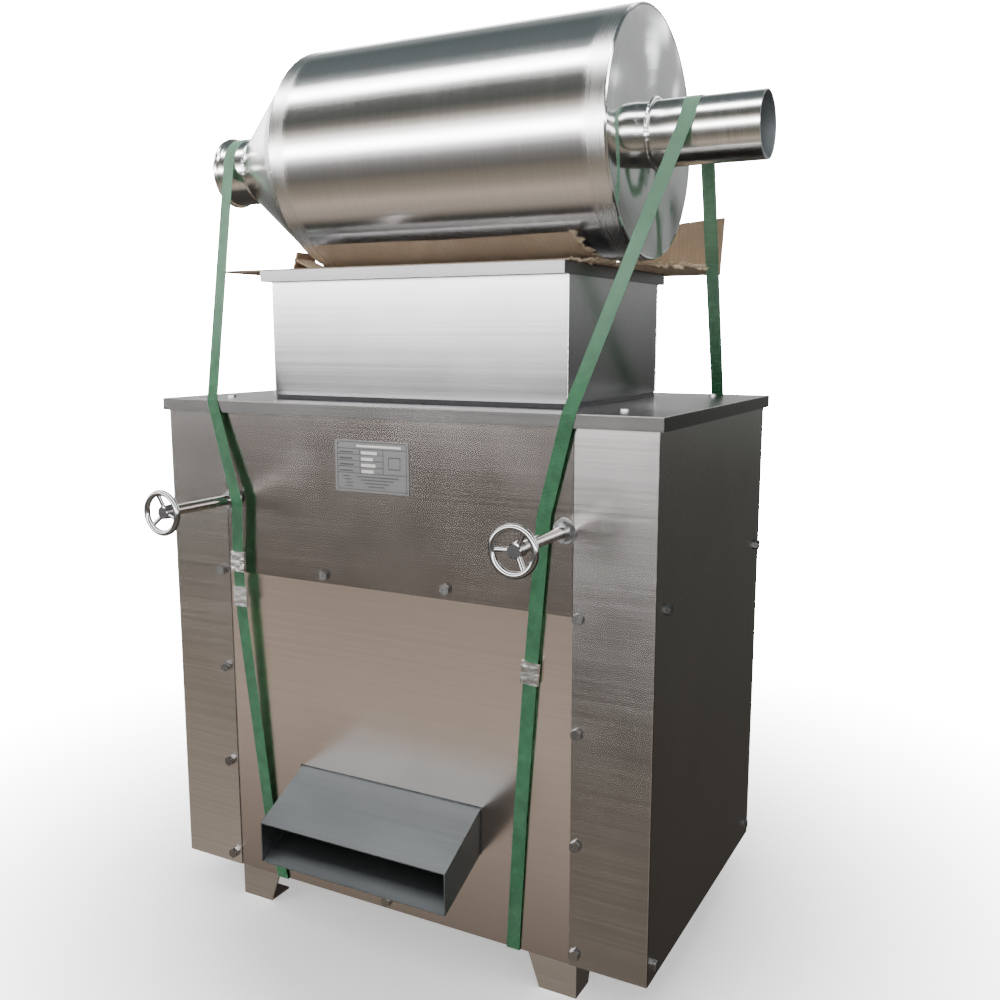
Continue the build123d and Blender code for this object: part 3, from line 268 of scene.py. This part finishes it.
def steel(name, colour, rough=0.25, grain="x", smear=0.5, streaks=0.05, wave=0.0012, wave_size=3.0,
          clouds=0.12, bands=(), fade=None, lip=None, lean=0.0, metallic=1.0):
    """Brushed sheet metal.

    rough, smear and streaks set the gloss; wave and wave_size are the height and the count of its
    slow waves; clouds is how much its colour varies. bands are (x, half width) rings round the drum
    brushed by hand. fade is (low z, high z, factor at low, factor at high): painted
    shade, a colour factor that makes the sheet darker towards its bottom edge. lip is (z, factor):
    painted shade, a colour factor that makes the sheet darker above z. lean is how many degrees the shading
    normal tips towards the floor, while the mesh stays flat.
    """
    material, graph, surface = new_material(name)
    parts = place_parts(graph)
    whole = parts[0]
    z = parts[3]
    fine = graph.noise(grain_vector(graph, grain, parts), 1.0, 3.0, 0.6)
    cloud = graph.noise(whole, 3.1, 3.0, 0.6, 0.4)
    smudge = graph.noise(whole, 9.0, 2.0, 0.5)
    tone = graph.math("ADD", graph.math("MULTIPLY", fine, 0.5), graph.math("MULTIPLY", cloud, 0.5))
    tint = graph.mix(graph.stretch(tone, 0.32, 0.68), shade(colour, 1 - clouds), shade(colour, 1 + clouds))
    # Painted shade: the colour darkens from the sheet's top edge towards its bottom edge.
    if fade is not None:
        factor = graph.stretch(z, *fade)
        tint = graph.mix(1.0, tint, graph.vector(factor, factor, factor), "MULTIPLY")
    # Painted shade: the colour darkens above z, on the hopper's lip.
    if lip is not None:
        factor = graph.stretch(z, lip[0] - 0.0003, lip[0] + 0.0003, 1.0, lip[1])
        tint = graph.mix(1.0, tint, graph.vector(factor, factor, factor), "MULTIPLY")
    rough_now = graph.math("ADD", rough - streaks, graph.math("MULTIPLY", fine, 2 * streaks))
    rough_now = graph.math("ADD", rough_now, graph.stretch(smudge, 0.35, 0.8, 0.0, 0.04))
    if bands:
        inside = hand_brushed(graph, parts, bands)
        tint = graph.mix(graph.math("MULTIPLY", inside, 0.8), tint, shade(colour, 1.12))
        rough_now = graph.math("ADD", rough_now, graph.math("MULTIPLY", inside, 0.26))
    graph.put(surface.inputs["Base Color"], tint)
    graph.put(surface.inputs["Roughness"], rough_now)
    surface.inputs["Metallic"].default_value = metallic
    surface.inputs["Anisotropic"].default_value = smear
    axis, turn = TANGENT[grain]
    surface.inputs["Anisotropic Rotation"].default_value = turn
    tangent = graph.node("ShaderNodeTangent", direction_type="RADIAL", axis=axis)
    graph.link(tangent.outputs[0], surface.inputs["Tangent"])
    large = graph.math("MULTIPLY", graph.noise(whole, wave_size, 1.0, 0.4), wave)
    height = graph.math("ADD", large, graph.math("MULTIPLY", z, math.tan(math.radians(lean))))
    graph.link(graph.bump(height, 1.0), surface.inputs["Normal"])
    return material


def plain(name, colour, rough, metallic=0.0, grain_size=60.0, bump=0.0003, variation=0.15, specular=0.5,
          coat=0.0):
    """A moulded, cast or painted surface with fine grain, stains and worn gloss."""
    material, graph, surface = new_material(name)
    whole = graph.node("ShaderNodeTexCoord").outputs["Object"]
    grain = graph.noise(whole, grain_size, 6.0, 0.6)
    stain = graph.noise(whole, 9.0, 4.0, 0.65, 0.6)
    tint = graph.mix(graph.stretch(stain, 0.35, 0.7), shade(colour, 1 - variation),
                     shade(colour, 1 + variation))
    graph.put(surface.inputs["Base Color"], tint)
    graph.put(surface.inputs["Roughness"], graph.stretch(grain, 0.3, 0.7, rough - 0.06, rough + 0.08))
    surface.inputs["Metallic"].default_value = metallic
    surface.inputs["Specular IOR Level"].default_value = specular
    surface.inputs["Coat Weight"].default_value = coat
    graph.link(graph.bump(grain, bump), surface.inputs["Normal"])
    return material


def strap_material():
    """Polypropylene strapping: embossed diamonds, a glossy face, lighter worn ridges, and painted light
    that makes it paler and greener higher above the lid.
    """
    colour = SLOT_COLOUR["strap_green"]
    material, graph, surface = new_material("strap_green")
    whole, x, y, z = place_parts(graph)
    along = graph.math("ADD", z, graph.math("MULTIPLY", y, 0.9))
    pitch = 2 * math.pi / STRAP_EMBOSSING
    one = graph.math("SINE", graph.math("MULTIPLY", graph.math("ADD", x, along), pitch))
    two = graph.math("SINE", graph.math("MULTIPLY", graph.math("SUBTRACT", x, along), pitch))
    diamond = graph.math("MULTIPLY", one, two)
    wear = graph.noise(whole, 30.0, 4.0, 0.7)
    tint = graph.mix(graph.stretch(wear, 0.35, 0.75), shade(colour, 0.42), shade(colour, 0.75))
    tint = graph.mix(graph.stretch(diamond, 0.4, 1.0, 0.0, 0.3), tint, shade(colour, 1.1))
    # Painted light: the strap turns pale mint higher above the lid, where its free spans are.
    stretched = graph.stretch(z, LID_HIGH.z + 0.02, LID_HIGH.z + 0.16, 0.0, 0.6)
    tint = graph.mix(stretched, tint, (0.36, 0.62, 0.44))
    graph.put(surface.inputs["Base Color"], tint)
    graph.put(surface.inputs["Roughness"], graph.stretch(wear, 0.3, 0.8, 0.3, 0.45))
    surface.inputs["Specular IOR Level"].default_value = 0.22
    graph.link(graph.bump(diamond, 0.00025), surface.inputs["Normal"])
    return material


def card_material():
    """Kraft liner: fibres, faint flute lines showing through, stains."""
    colour = SLOT_COLOUR["card"]
    material, graph, surface = new_material("card")
    whole, x, y, z = place_parts(graph)
    fibre = graph.noise(graph.scale((x, y, z), 500.0, 160.0, 500.0), 1.0, 4.0, 0.7)
    flute = graph.math("SINE", graph.math("MULTIPLY", x, 2 * math.pi / FLUTE_PITCH))
    stain = graph.noise(whole, 7.0, 4.0, 0.6, 0.8)
    tint = graph.mix(graph.stretch(stain, 0.3, 0.7), shade(colour, 0.82), shade(colour, 1.15))
    tint = graph.mix(graph.stretch(fibre, 0.45, 0.75, 0.0, 0.4), tint, shade(colour, 0.7))
    tint = graph.mix(graph.stretch(flute, -1.0, 1.0, 0.0, 0.14), tint, shade(colour, 0.6))
    graph.put(surface.inputs["Base Color"], tint)
    surface.inputs["Roughness"].default_value = 0.85
    height = graph.math("ADD", graph.math("MULTIPLY", flute, 0.6), fibre)
    graph.link(graph.bump(height, 0.0002), surface.inputs["Normal"])
    return material


def make_materials():
    """Every node's material, by slot."""
    c = SLOT_COLOUR
    band = ((SHELL_LOW.x, 0.026), (SHELL_HIGH.x, 0.028))
    return {
        "cabinet_steel": steel("cabinet_steel", c["cabinet_steel"], 0.2, "x", 0.4, 0.03, 0.0014, 2.6),
        "panel_steel": steel("panel_steel", c["panel_steel"], 0.2, "x", 0.4, 0.03, 0.0018, 2.2, 0.1),
        # The hopper's colour carries painted shade: darker towards its bottom and darker on its lip.
        "hopper_steel": steel("hopper_steel", c["hopper_steel"], 0.2, "x", 0.4, 0.03, 0.002, 3.0, 0.1,
                              fade=(HOPPER_LOW.z, HOPPER_HIGH.z - 0.03, 0.3, 0.9),
                              lip=(HOPPER_HIGH.z - LIP_DEPTH, 0.3), lean=2.5),
        "inner_steel": steel("inner_steel", c["inner_steel"], 0.35, "z", 0.3, 0.06, 0.001, 4.0),
        "chute_steel": steel("chute_steel", shade(c["chute_steel"], 0.2), 0.38, "x", 0.2, 0.05, 0.0005,
                             5.0, 0.12, metallic=0.7),
        "pipe_steel": steel("pipe_steel", shade(c["pipe_steel"], 0.95), 0.16, "around", 0.5, 0.03,
                            0.0002, 8.0),
        "turned_steel": steel("turned_steel", shade(c["turned_steel"], 0.5), 0.16, "z", 0.2, 0.04,
                              0.0001, 9.0),
        "screw_steel": steel("screw_steel", shade(c["screw_steel"], 0.5), 0.22, "z", 0.0, 0.06,
                             0.00005, 60.0),
        "gear_steel": steel("gear_steel", c["gear_steel"], 0.3, "z", 0.0, 0.06, 0.00005, 60.0),
        "seal_steel": steel("seal_steel", c["seal_steel"], 0.24, "x", 0.0, 0.08, 0.0006, 150.0),
        "plate_aluminium": steel("plate_aluminium", shade(c["plate_aluminium"], 0.14), 0.4, "x", 0.2, 0.05,
                                 0.0001, 9.0),
        "mirror_steel": steel("mirror_steel", shade(c["mirror_steel"], 0.8), 0.11, "rings", 0.1, 0.02, 0.03,
                              7.5, 0.05),
        "wheel_chrome": steel("wheel_chrome", shade(c["wheel_chrome"], 0.36), 0.12, "z", 0.0, 0.02,
                              0.00005, 30.0, 0.04),
        "drum_steel": steel("drum_steel", c["drum_steel"], 0.12, "around", 0.6, 0.03, 0.0004, 3.0, 0.05,
                            band),
        "pulley_iron": plain("pulley_iron", c["pulley_iron"], 0.45, 0.9, 220.0, 0.0003),
        "motor_paint": plain("motor_paint", c["motor_paint"], 0.35, 0.0, 150.0, 0.0002, 0.12, 0.5, 0.3),
        "bearing_plastic": plain("bearing_plastic", c["bearing_plastic"], 0.45, 0.0, 90.0, 0.0001, 0.05),
        "roller_rubber": plain("roller_rubber", c["roller_rubber"], 0.6, 0.0, 240.0, 0.0002, 0.2),
        "paddle_rubber": plain("paddle_rubber", c["paddle_rubber"], 0.55, 0.0, 240.0, 0.0002, 0.08),
        "belt_rubber": plain("belt_rubber", c["belt_rubber"], 0.7, 0.0, 300.0, 0.0003, 0.2),
        "gasket_rubber": plain("gasket_rubber", c["gasket_rubber"], 0.8, 0.0, 300.0, 0.0004, 0.2),
        "strap_green": strap_material(),
        "card": card_material(),
    }


def panel_materials():
    """The cabinet's sheets: copies of the panel, cabinet and hopper steel, with base colours lightened
    (back, lower panel) and darkened (the rest) as painted light and shade, each with its own wear and its
    own lean of the shading normal.
    """
    cabinet = SLOT_COLOUR["cabinet_steel"]
    panel = SLOT_COLOUR["panel_steel"]
    hopper = SLOT_COLOUR["hopper_steel"]
    low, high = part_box("front_lower_panel")
    # Painted light and shade: each sheet's base colour is its steel's colour times its own factor, and the
    # lower panel and right cover also darken towards the bottom.
    return {
        "back_panel": steel("back_steel", shade(panel, 1.3), 0.22, "x", 0.4, 0.03, 0.002, 2.2, 0.08,
                            lean=-7.5),
        "stem_chute": steel("stem_steel", shade(hopper, 0.9), 0.36, "x", 0.2, 0.05, 0.0005, 5.0, 0.12,
                            lean=-6.0, metallic=0.8),
        "front_upper_panel": steel("upper_panel", shade(panel, 0.8), 0.19, "x", 0.4, 0.03, 0.004, 2.4,
                                   0.1, lean=5.0),
        "front_lower_panel": steel("lower_panel", shade(panel, 1.3), 0.22, "x", 0.4, 0.03, 0.004, 2.2,
                                   0.06, fade=(low.z, high.z - 0.2, 0.5, 1.0), lean=12.5),
        "left_side_cover": steel("left_cover", shade(cabinet, 0.95), 0.2, "x", 0.4, 0.03, 0.003, 2.6,
                                 lean=6.0),
        "right_side_cover": steel("right_cover", shade(cabinet, 0.85), 0.2, "x", 0.4, 0.03, 0.0014, 2.6,
                                  fade=(low.z, high.z, 0.66, 0.95), lean=1.5),
        "top_cover": steel("lid_steel", shade(cabinet, 0.26), 0.24, "x", 0.3, 0.03, 0.0008, 2.6, lean=3.0),
    }


def dress_nodes(by_slot, by_node):
    for name, piece in NODES.items():
        material = by_node.get(name, by_slot[SLOT_OF[name]])
        piece.data.materials.clear()
        piece.data.materials.append(material)


# ---- studio ----

def world_light():
    """Metal sees STUDIO, matt surfaces see a soft sky, and the camera sees a white backdrop."""
    world = bpy.data.worlds.new("studio")
    bpy.context.scene.world = world
    world.use_nodes = True
    graph = Graph(world.node_tree)
    coordinates = graph.node("ShaderNodeTexCoord").outputs["Generated"]
    split = graph.node("ShaderNodeSeparateXYZ")
    graph.link(coordinates, split.inputs[0])
    z = split.outputs[2]
    front = graph.math("MULTIPLY", split.outputs[1], -1.0)
    height = graph.math("ARCTAN2", z, front)
    place = graph.stretch(height, -math.pi, math.pi)

    stops = [((degrees + 180) / 360, colour) for degrees, colour in STUDIO]
    colour = graph.ramp(place, stops)
    paths = graph.node("ShaderNodeLightPath")
    reflected = graph.node("ShaderNodeBackground")
    graph.put(reflected.inputs[0], colour)
    sky = graph.node("ShaderNodeBackground")
    graph.put(sky.inputs[0], graph.mix(graph.stretch(z, -0.4, 0.6), SKY_LOW, SKY_HIGH))
    backdrop = graph.node("ShaderNodeBackground")
    backdrop.inputs[1].default_value = BACKDROP
    backdrop.inputs[0].default_value = (1, 1, 1, 1)
    first = graph.node("ShaderNodeMixShader")
    graph.link(paths.outputs["Is Glossy Ray"], first.inputs[0])
    graph.link(sky.outputs[0], first.inputs[1])
    graph.link(reflected.outputs[0], first.inputs[2])
    switch = graph.node("ShaderNodeMixShader")
    graph.link(paths.outputs["Is Camera Ray"], switch.inputs[0])
    graph.link(first.outputs[0], switch.inputs[1])
    graph.link(backdrop.outputs[0], switch.inputs[2])
    output = graph.node("ShaderNodeOutputWorld")
    graph.link(switch.outputs[0], output.inputs[0])


def area_light(name, place, target, size, power):
    data = bpy.data.lights.new(name, "AREA")
    data.shape = "RECTANGLE"
    data.size, data.size_y = size
    data.energy = power
    lamp = bpy.data.objects.new(name, data)
    lamp.location = place
    lamp.rotation_euler = (Vector(target) - Vector(place)).to_track_quat("-Z", "Y").to_euler()
    lamp.visible_glossy = False
    bpy.context.scene.collection.objects.link(lamp)


def add_floor():
    """A pale floor that brightens into the backdrop away from the machine."""
    mesh = bpy.data.meshes.new("floor")
    corners = [(-FLOOR_HALF, -FLOOR_HALF, 0), (FLOOR_HALF, -FLOOR_HALF, 0),
               (FLOOR_HALF, FLOOR_HALF, 0), (-FLOOR_HALF, FLOOR_HALF, 0)]
    mesh.from_pydata(corners, [], [(0, 1, 2, 3)])
    floor = bpy.data.objects.new("floor", mesh)
    bpy.context.scene.collection.objects.link(floor)
    material, graph, surface = new_material("floor")
    surface.inputs["Base Color"].default_value = (0.86, 0.85, 0.84, 1)
    surface.inputs["Roughness"].default_value = 0.9
    whole = graph.node("ShaderNodeTexCoord").outputs["Object"]
    distance = graph.node("ShaderNodeVectorMath", operation="LENGTH")
    graph.link(whole, distance.inputs[0])
    glow = graph.stretch(distance.outputs["Value"], 0.35, 1.9, 0.12, 1.0)
    surface.inputs["Emission Color"].default_value = (1, 1, 1, 1)
    graph.put(surface.inputs["Emission Strength"],
              graph.math("MULTIPLY", graph.math("POWER", glow, 2.0), BACKDROP))
    mesh.materials.append(material)
    floor.visible_glossy = False
    floor.visible_diffuse = False


def add_lights():
    world_light()
    middle = (0, 0, 0.6)
    area_light("key", (-1.6, -2.6, 2.6), middle, (1.6, 1.6), 34)
    area_light("fill", (2.4, -1.6, 1.6), middle, (1.6, 1.6), 10)
    area_light("top", (0, 0.2, 3.2), middle, (2.0, 2.0), 26)


# ---- pieces that the CAD leaves plain ----

def add_piece(name, verts, faces, material, smooth=False):
    """A mesh piece on the cabinet."""
    mesh = bpy.data.meshes.new(name)
    mesh.from_pydata([tuple(v) for v in verts], [], faces)
    mesh.validate()
    mesh.materials.append(material)
    if smooth:
        mesh.shade_smooth()
    piece = bpy.data.objects.new(name, mesh)
    bpy.context.scene.collection.objects.link(piece)
    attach(piece, "cabinet")


def add_block(verts, faces, low, high):
    """Adds a box's corners and faces to the lists."""
    start = len(verts)
    for x in (low[0], high[0]):
        for y in (low[1], high[1]):
            for z in (low[2], high[2]):
                verts.append((x, y, z))
    for face in ((0, 1, 3, 2), (4, 6, 7, 5), (0, 4, 5, 1), (2, 3, 7, 6), (0, 2, 6, 4), (1, 5, 7, 3)):
        faces.append(tuple(start + k for k in face))


def drum_bead(name, x, radius, thick, material, ripples, ripple):
    """A weld bead: a thin torus about the drum's axis, its thickness rippling round the ring."""
    around = 160
    verts, faces = [], []
    for i in range(around):
        angle = 2 * math.pi * i / around
        swell = thick * (1 + ripple * math.sin(ripples * angle))
        for j in range(BEAD_SIDES):
            turn = 2 * math.pi * j / BEAD_SIDES
            r = radius + swell * math.cos(turn)
            verts.append((x + swell * math.sin(turn), DRUM_Y + r * math.cos(angle),
                          DRUM_Z + r * math.sin(angle)))
    for i in range(around):
        for j in range(BEAD_SIDES):
            a = i * BEAD_SIDES
            b = ((i + 1) % around) * BEAD_SIDES
            k = (j + 1) % BEAD_SIDES
            faces.append((a + j, b + j, b + k, a + k))
    add_piece(name, verts, faces, material, smooth=True)


def pipe_skin(name, x0, x1, radius, material):
    """The inner skin of a pipe on the drum's axis, facing inwards."""
    around = 72
    verts, faces = [], []
    for x in (x0, x1):
        for i in range(around):
            angle = 2 * math.pi * i / around
            verts.append((x, DRUM_Y + radius * math.cos(angle), DRUM_Z + radius * math.sin(angle)))
    for i in range(around):
        k = (i + 1) % around
        faces.append((i, k, around + k, around + i))
    add_piece(name, verts, faces, material, smooth=True)


def weld_beads(bead):
    """The four ring welds of the drum."""
    cone_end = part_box("drum_cone")[1].x
    plate_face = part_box("drum_end_plate")[1].x
    drum_bead("bead_cone", cone_end - 0.0012, DRUM_R - 0.0013, 0.0012, bead, 110, 0.15)
    drum_bead("bead_end", SHELL_HIGH.x + 0.0005, DRUM_R - 0.0011, 0.001, bead, 110, 0.15)
    drum_bead("bead_stub", STUB_HIGH.x + 0.0004, STUB_R + 0.0008, 0.0014, bead, 60, 0.2)
    drum_bead("bead_pipe", plate_face - 0.0005, PIPE_R + 0.0022, 0.003, bead, 40, 0.06)


def pipe_skins():
    """The dull, pickled insides of the two pipes."""
    pickled = plain("pickled_steel", (0.3, 0.33, 0.35), 0.5, 0.35, 90.0, 0.0002, 0.1)
    pipe_skin("pipe_skin", PIPE_LOW.x, PIPE_HIGH.x - 0.0004, PIPE_R - SKIN_INSET, pickled)
    pipe_skin("stub_skin", STUB_LOW.x + 0.0004, STUB_HIGH.x, STUB_R - SKIN_INSET, pickled)


def plate_marks(name, fields, proud, material):
    """Thin blocks on the nameplate; a field is (left, bottom, right, top) as fractions of it."""
    low, high = PLATE_LOW, PLATE_HIGH
    width = high.x - low.x
    tall = high.z - low.z
    verts, faces = [], []
    for x0, z0, x1, z1 in fields:
        add_block(verts, faces, (low.x + x0 * width, low.y - proud, low.z + z0 * tall),
                  (low.x + x1 * width, low.y + 0.0002, low.z + z1 * tall))
    add_piece(name, verts, faces, material)


def nameplate_rules():
    """Engraved rules and blank fields: no letters."""
    ink = plain("rule_ink", (0.03, 0.028, 0.028), 0.6, 0.0, 300.0, 0.0)
    pale = steel("field_aluminium", (0.3, 0.29, 0.28), 0.32, "x", 0.2, 0.05, 0.0001, 9.0)
    left, right, bottom, middle = 0.03, 0.966, 0.04, 0.36
    rules = [(left, z, 0.97, z + RULE) for z in (0.96, bottom, 0.83, middle)]
    rules += [(left, 0.72 - 0.12 * row, 0.66, 0.72 - 0.12 * row + RULE) for row in range(3)]
    rules += [(x, bottom, x + 0.009, 0.97) for x in (left, right)]
    rules += [(x, middle, x + 0.009, 0.83) for x in (0.34, 0.655)]
    chance = random.Random(4)
    for row in range(4):
        z = 0.755 - 0.12 * row
        rules.append((0.06, z, 0.06 + chance.uniform(0.17, 0.25), z + 0.03))
    for row in range(4):
        z = 0.29 - 0.062 * row
        x = 0.1 + 0.05 * chance.random()
        rules.append((x, z, x + 0.1, z + 0.024))
        rules.append((0.3 + 0.05 * row, z, 0.86 - 0.06 * row, z + 0.024))
    rules += [(0.73, 0.47, 0.89, 0.49), (0.73, 0.69, 0.89, 0.71)]
    rules += [(0.73, 0.47, 0.74, 0.71), (0.88, 0.47, 0.89, 0.71)]
    plate_marks("nameplate_rules", rules, INK_PROUD, ink)
    fields = []
    for row in range(4):
        z = 0.735 - 0.12 * row
        fields.append((0.36, z, 0.5 + 0.1 * chance.random(), z + 0.06))
    fields.append((0.3, 0.875, 0.9, 0.915))
    plate_marks("nameplate_fields", fields, FIELD_PROUD, pale)


def hopper_welds(bead):
    """Ground weld beads up the hopper's four corners."""
    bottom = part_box("hopper_gasket")[1].z
    top = HOPPER_HIGH.z - 0.017
    verts, faces = [], []
    for x in HOPPER_X:
        for y in HOPPER_Y:
            start = len(verts)
            for i in range(BEAD_ROWS + 1):
                z = bottom + (top - bottom) * i / BEAD_ROWS
                r = 0.0005 * (1 + 0.1 * math.sin(i * 1.9))
                for j in range(BEAD_SIDES):
                    turn = 2 * math.pi * j / BEAD_SIDES
                    verts.append((x + r * math.cos(turn), y + r * math.sin(turn), z))
            for i in range(BEAD_ROWS):
                for j in range(BEAD_SIDES):
                    k = (j + 1) % BEAD_SIDES
                    a = start + i * BEAD_SIDES
                    b = a + BEAD_SIDES
                    faces.append((a + j, a + k, b + k, b + j))
    add_piece("hopper_welds", verts, faces, bead, smooth=True)


def torn_card():
    """Tabs of torn card along its front right edge."""
    pale = plain("torn_card", (0.8, 0.66, 0.48), 0.9, 0.0, 400.0, 0.0006, 0.2)
    chance = random.Random(11)
    z0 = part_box("card_sheet")[0].z + 0.0002
    verts, faces = [], []
    points = [Vector((x, y, 0)) + SHIFT for x, y in CARD_EDGE]
    for a, b in zip(points, points[1:]):
        along = (b - a).normalized()
        out = Vector((along.y, -along.x, 0))
        steps = max(2, int((b - a).length / TEAR_STEP))
        for k in range(steps):
            place = a + (b - a) * ((k + chance.random() * 0.5) / steps)
            deep = chance.uniform(0.002, 0.011)
            wide = chance.uniform(0.004, 0.011)
            lift = chance.uniform(-0.004, 0.004)
            start = len(verts)
            for side, reach, height in ((-1, -0.002, 0.0), (1, -0.002, 0.0), (0.6, deep, lift),
                                        (-0.5, deep * chance.uniform(0.4, 1.0), lift)):
                spot = place + along * (side * wide / 2) + out * reach
                verts.append((spot.x, spot.y, z0 + 0.0026 + height))
                verts.append((spot.x, spot.y, z0 + 0.0004 + height))
            faces.append((start, start + 2, start + 4, start + 6))
            faces.append((start + 1, start + 7, start + 5, start + 3))
            for p, q in ((0, 2), (2, 4), (4, 6), (6, 0)):
                faces.append((start + p, start + p + 1, start + q + 1, start + q))
    add_piece("card_torn_edge", verts, faces, pale)


def folded_card(card):
    """Two folded bits of card under the drum's left end."""
    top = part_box("card_sheet")[0].z + 0.0031
    verts, faces = [], []
    folds = [((-0.222, 0.0), (-0.214, 0.025), -0.14, -0.095),
             ((-0.212, 0.014), (-0.18, 0.0), -0.15, -0.11)]
    for (x0, z0), (x1, z1), y0, y1 in folds:
        start = len(verts)
        side = Vector((z1 - z0, x0 - x1)).normalized() * FOLD_THICK / 2
        outline = [(x0 - side.x, z0 - side.y), (x1 - side.x, z1 - side.y), (x1 + side.x, z1 + side.y),
                   (x0 + side.x, z0 + side.y)]
        for y in (y0, y1):
            verts.extend((x + SHIFT.x, y + SHIFT.y, top + z) for x, z in outline)
        faces.append((start, start + 1, start + 2, start + 3))
        faces.append((start + 7, start + 6, start + 5, start + 4))
        for k in range(4):
            m = (k + 1) % 4
            faces.append((start + k, start + k + 4, start + m + 4, start + m))
    add_piece("card_wedge", verts, faces, card)


def bevel_edges():
    """Rounds the sharp edges of the sheet metal and the fasteners a little."""
    widths = {"left_side_cover": 0.0008, "right_side_cover": 0.0008, "front_upper_panel": 0.0004,
              "discharge_chute": 0.0005, "cover_screws": 0.0007, "panel_nuts": 0.0006,
              "panel_washers": 0.0004, "feet": 0.0008, "stem_chute": 0.0005, "outlet_pipe": 0.0005}
    for name, width in widths.items():
        bevel = NODES[name].modifiers.new("edge", "BEVEL")
        bevel.width = width
        bevel.segments = 2
        bevel.limit_method = "ANGLE"
        bevel.angle_limit = math.radians(40)
        bevel.harden_normals = False


add_camera()
add_lights()
add_floor()
by_slot = make_materials()
dress_nodes(by_slot, panel_materials())
weld_steel = steel("weld_steel", (0.6, 0.61, 0.62), 0.2, "rings", 0.0, 0.06, 0.0002, 200.0)
weld_beads(weld_steel)
pipe_skins()
nameplate_rules()
hopper_welds(weld_steel)
torn_card()
folded_card(by_slot["card"])
bevel_edges()
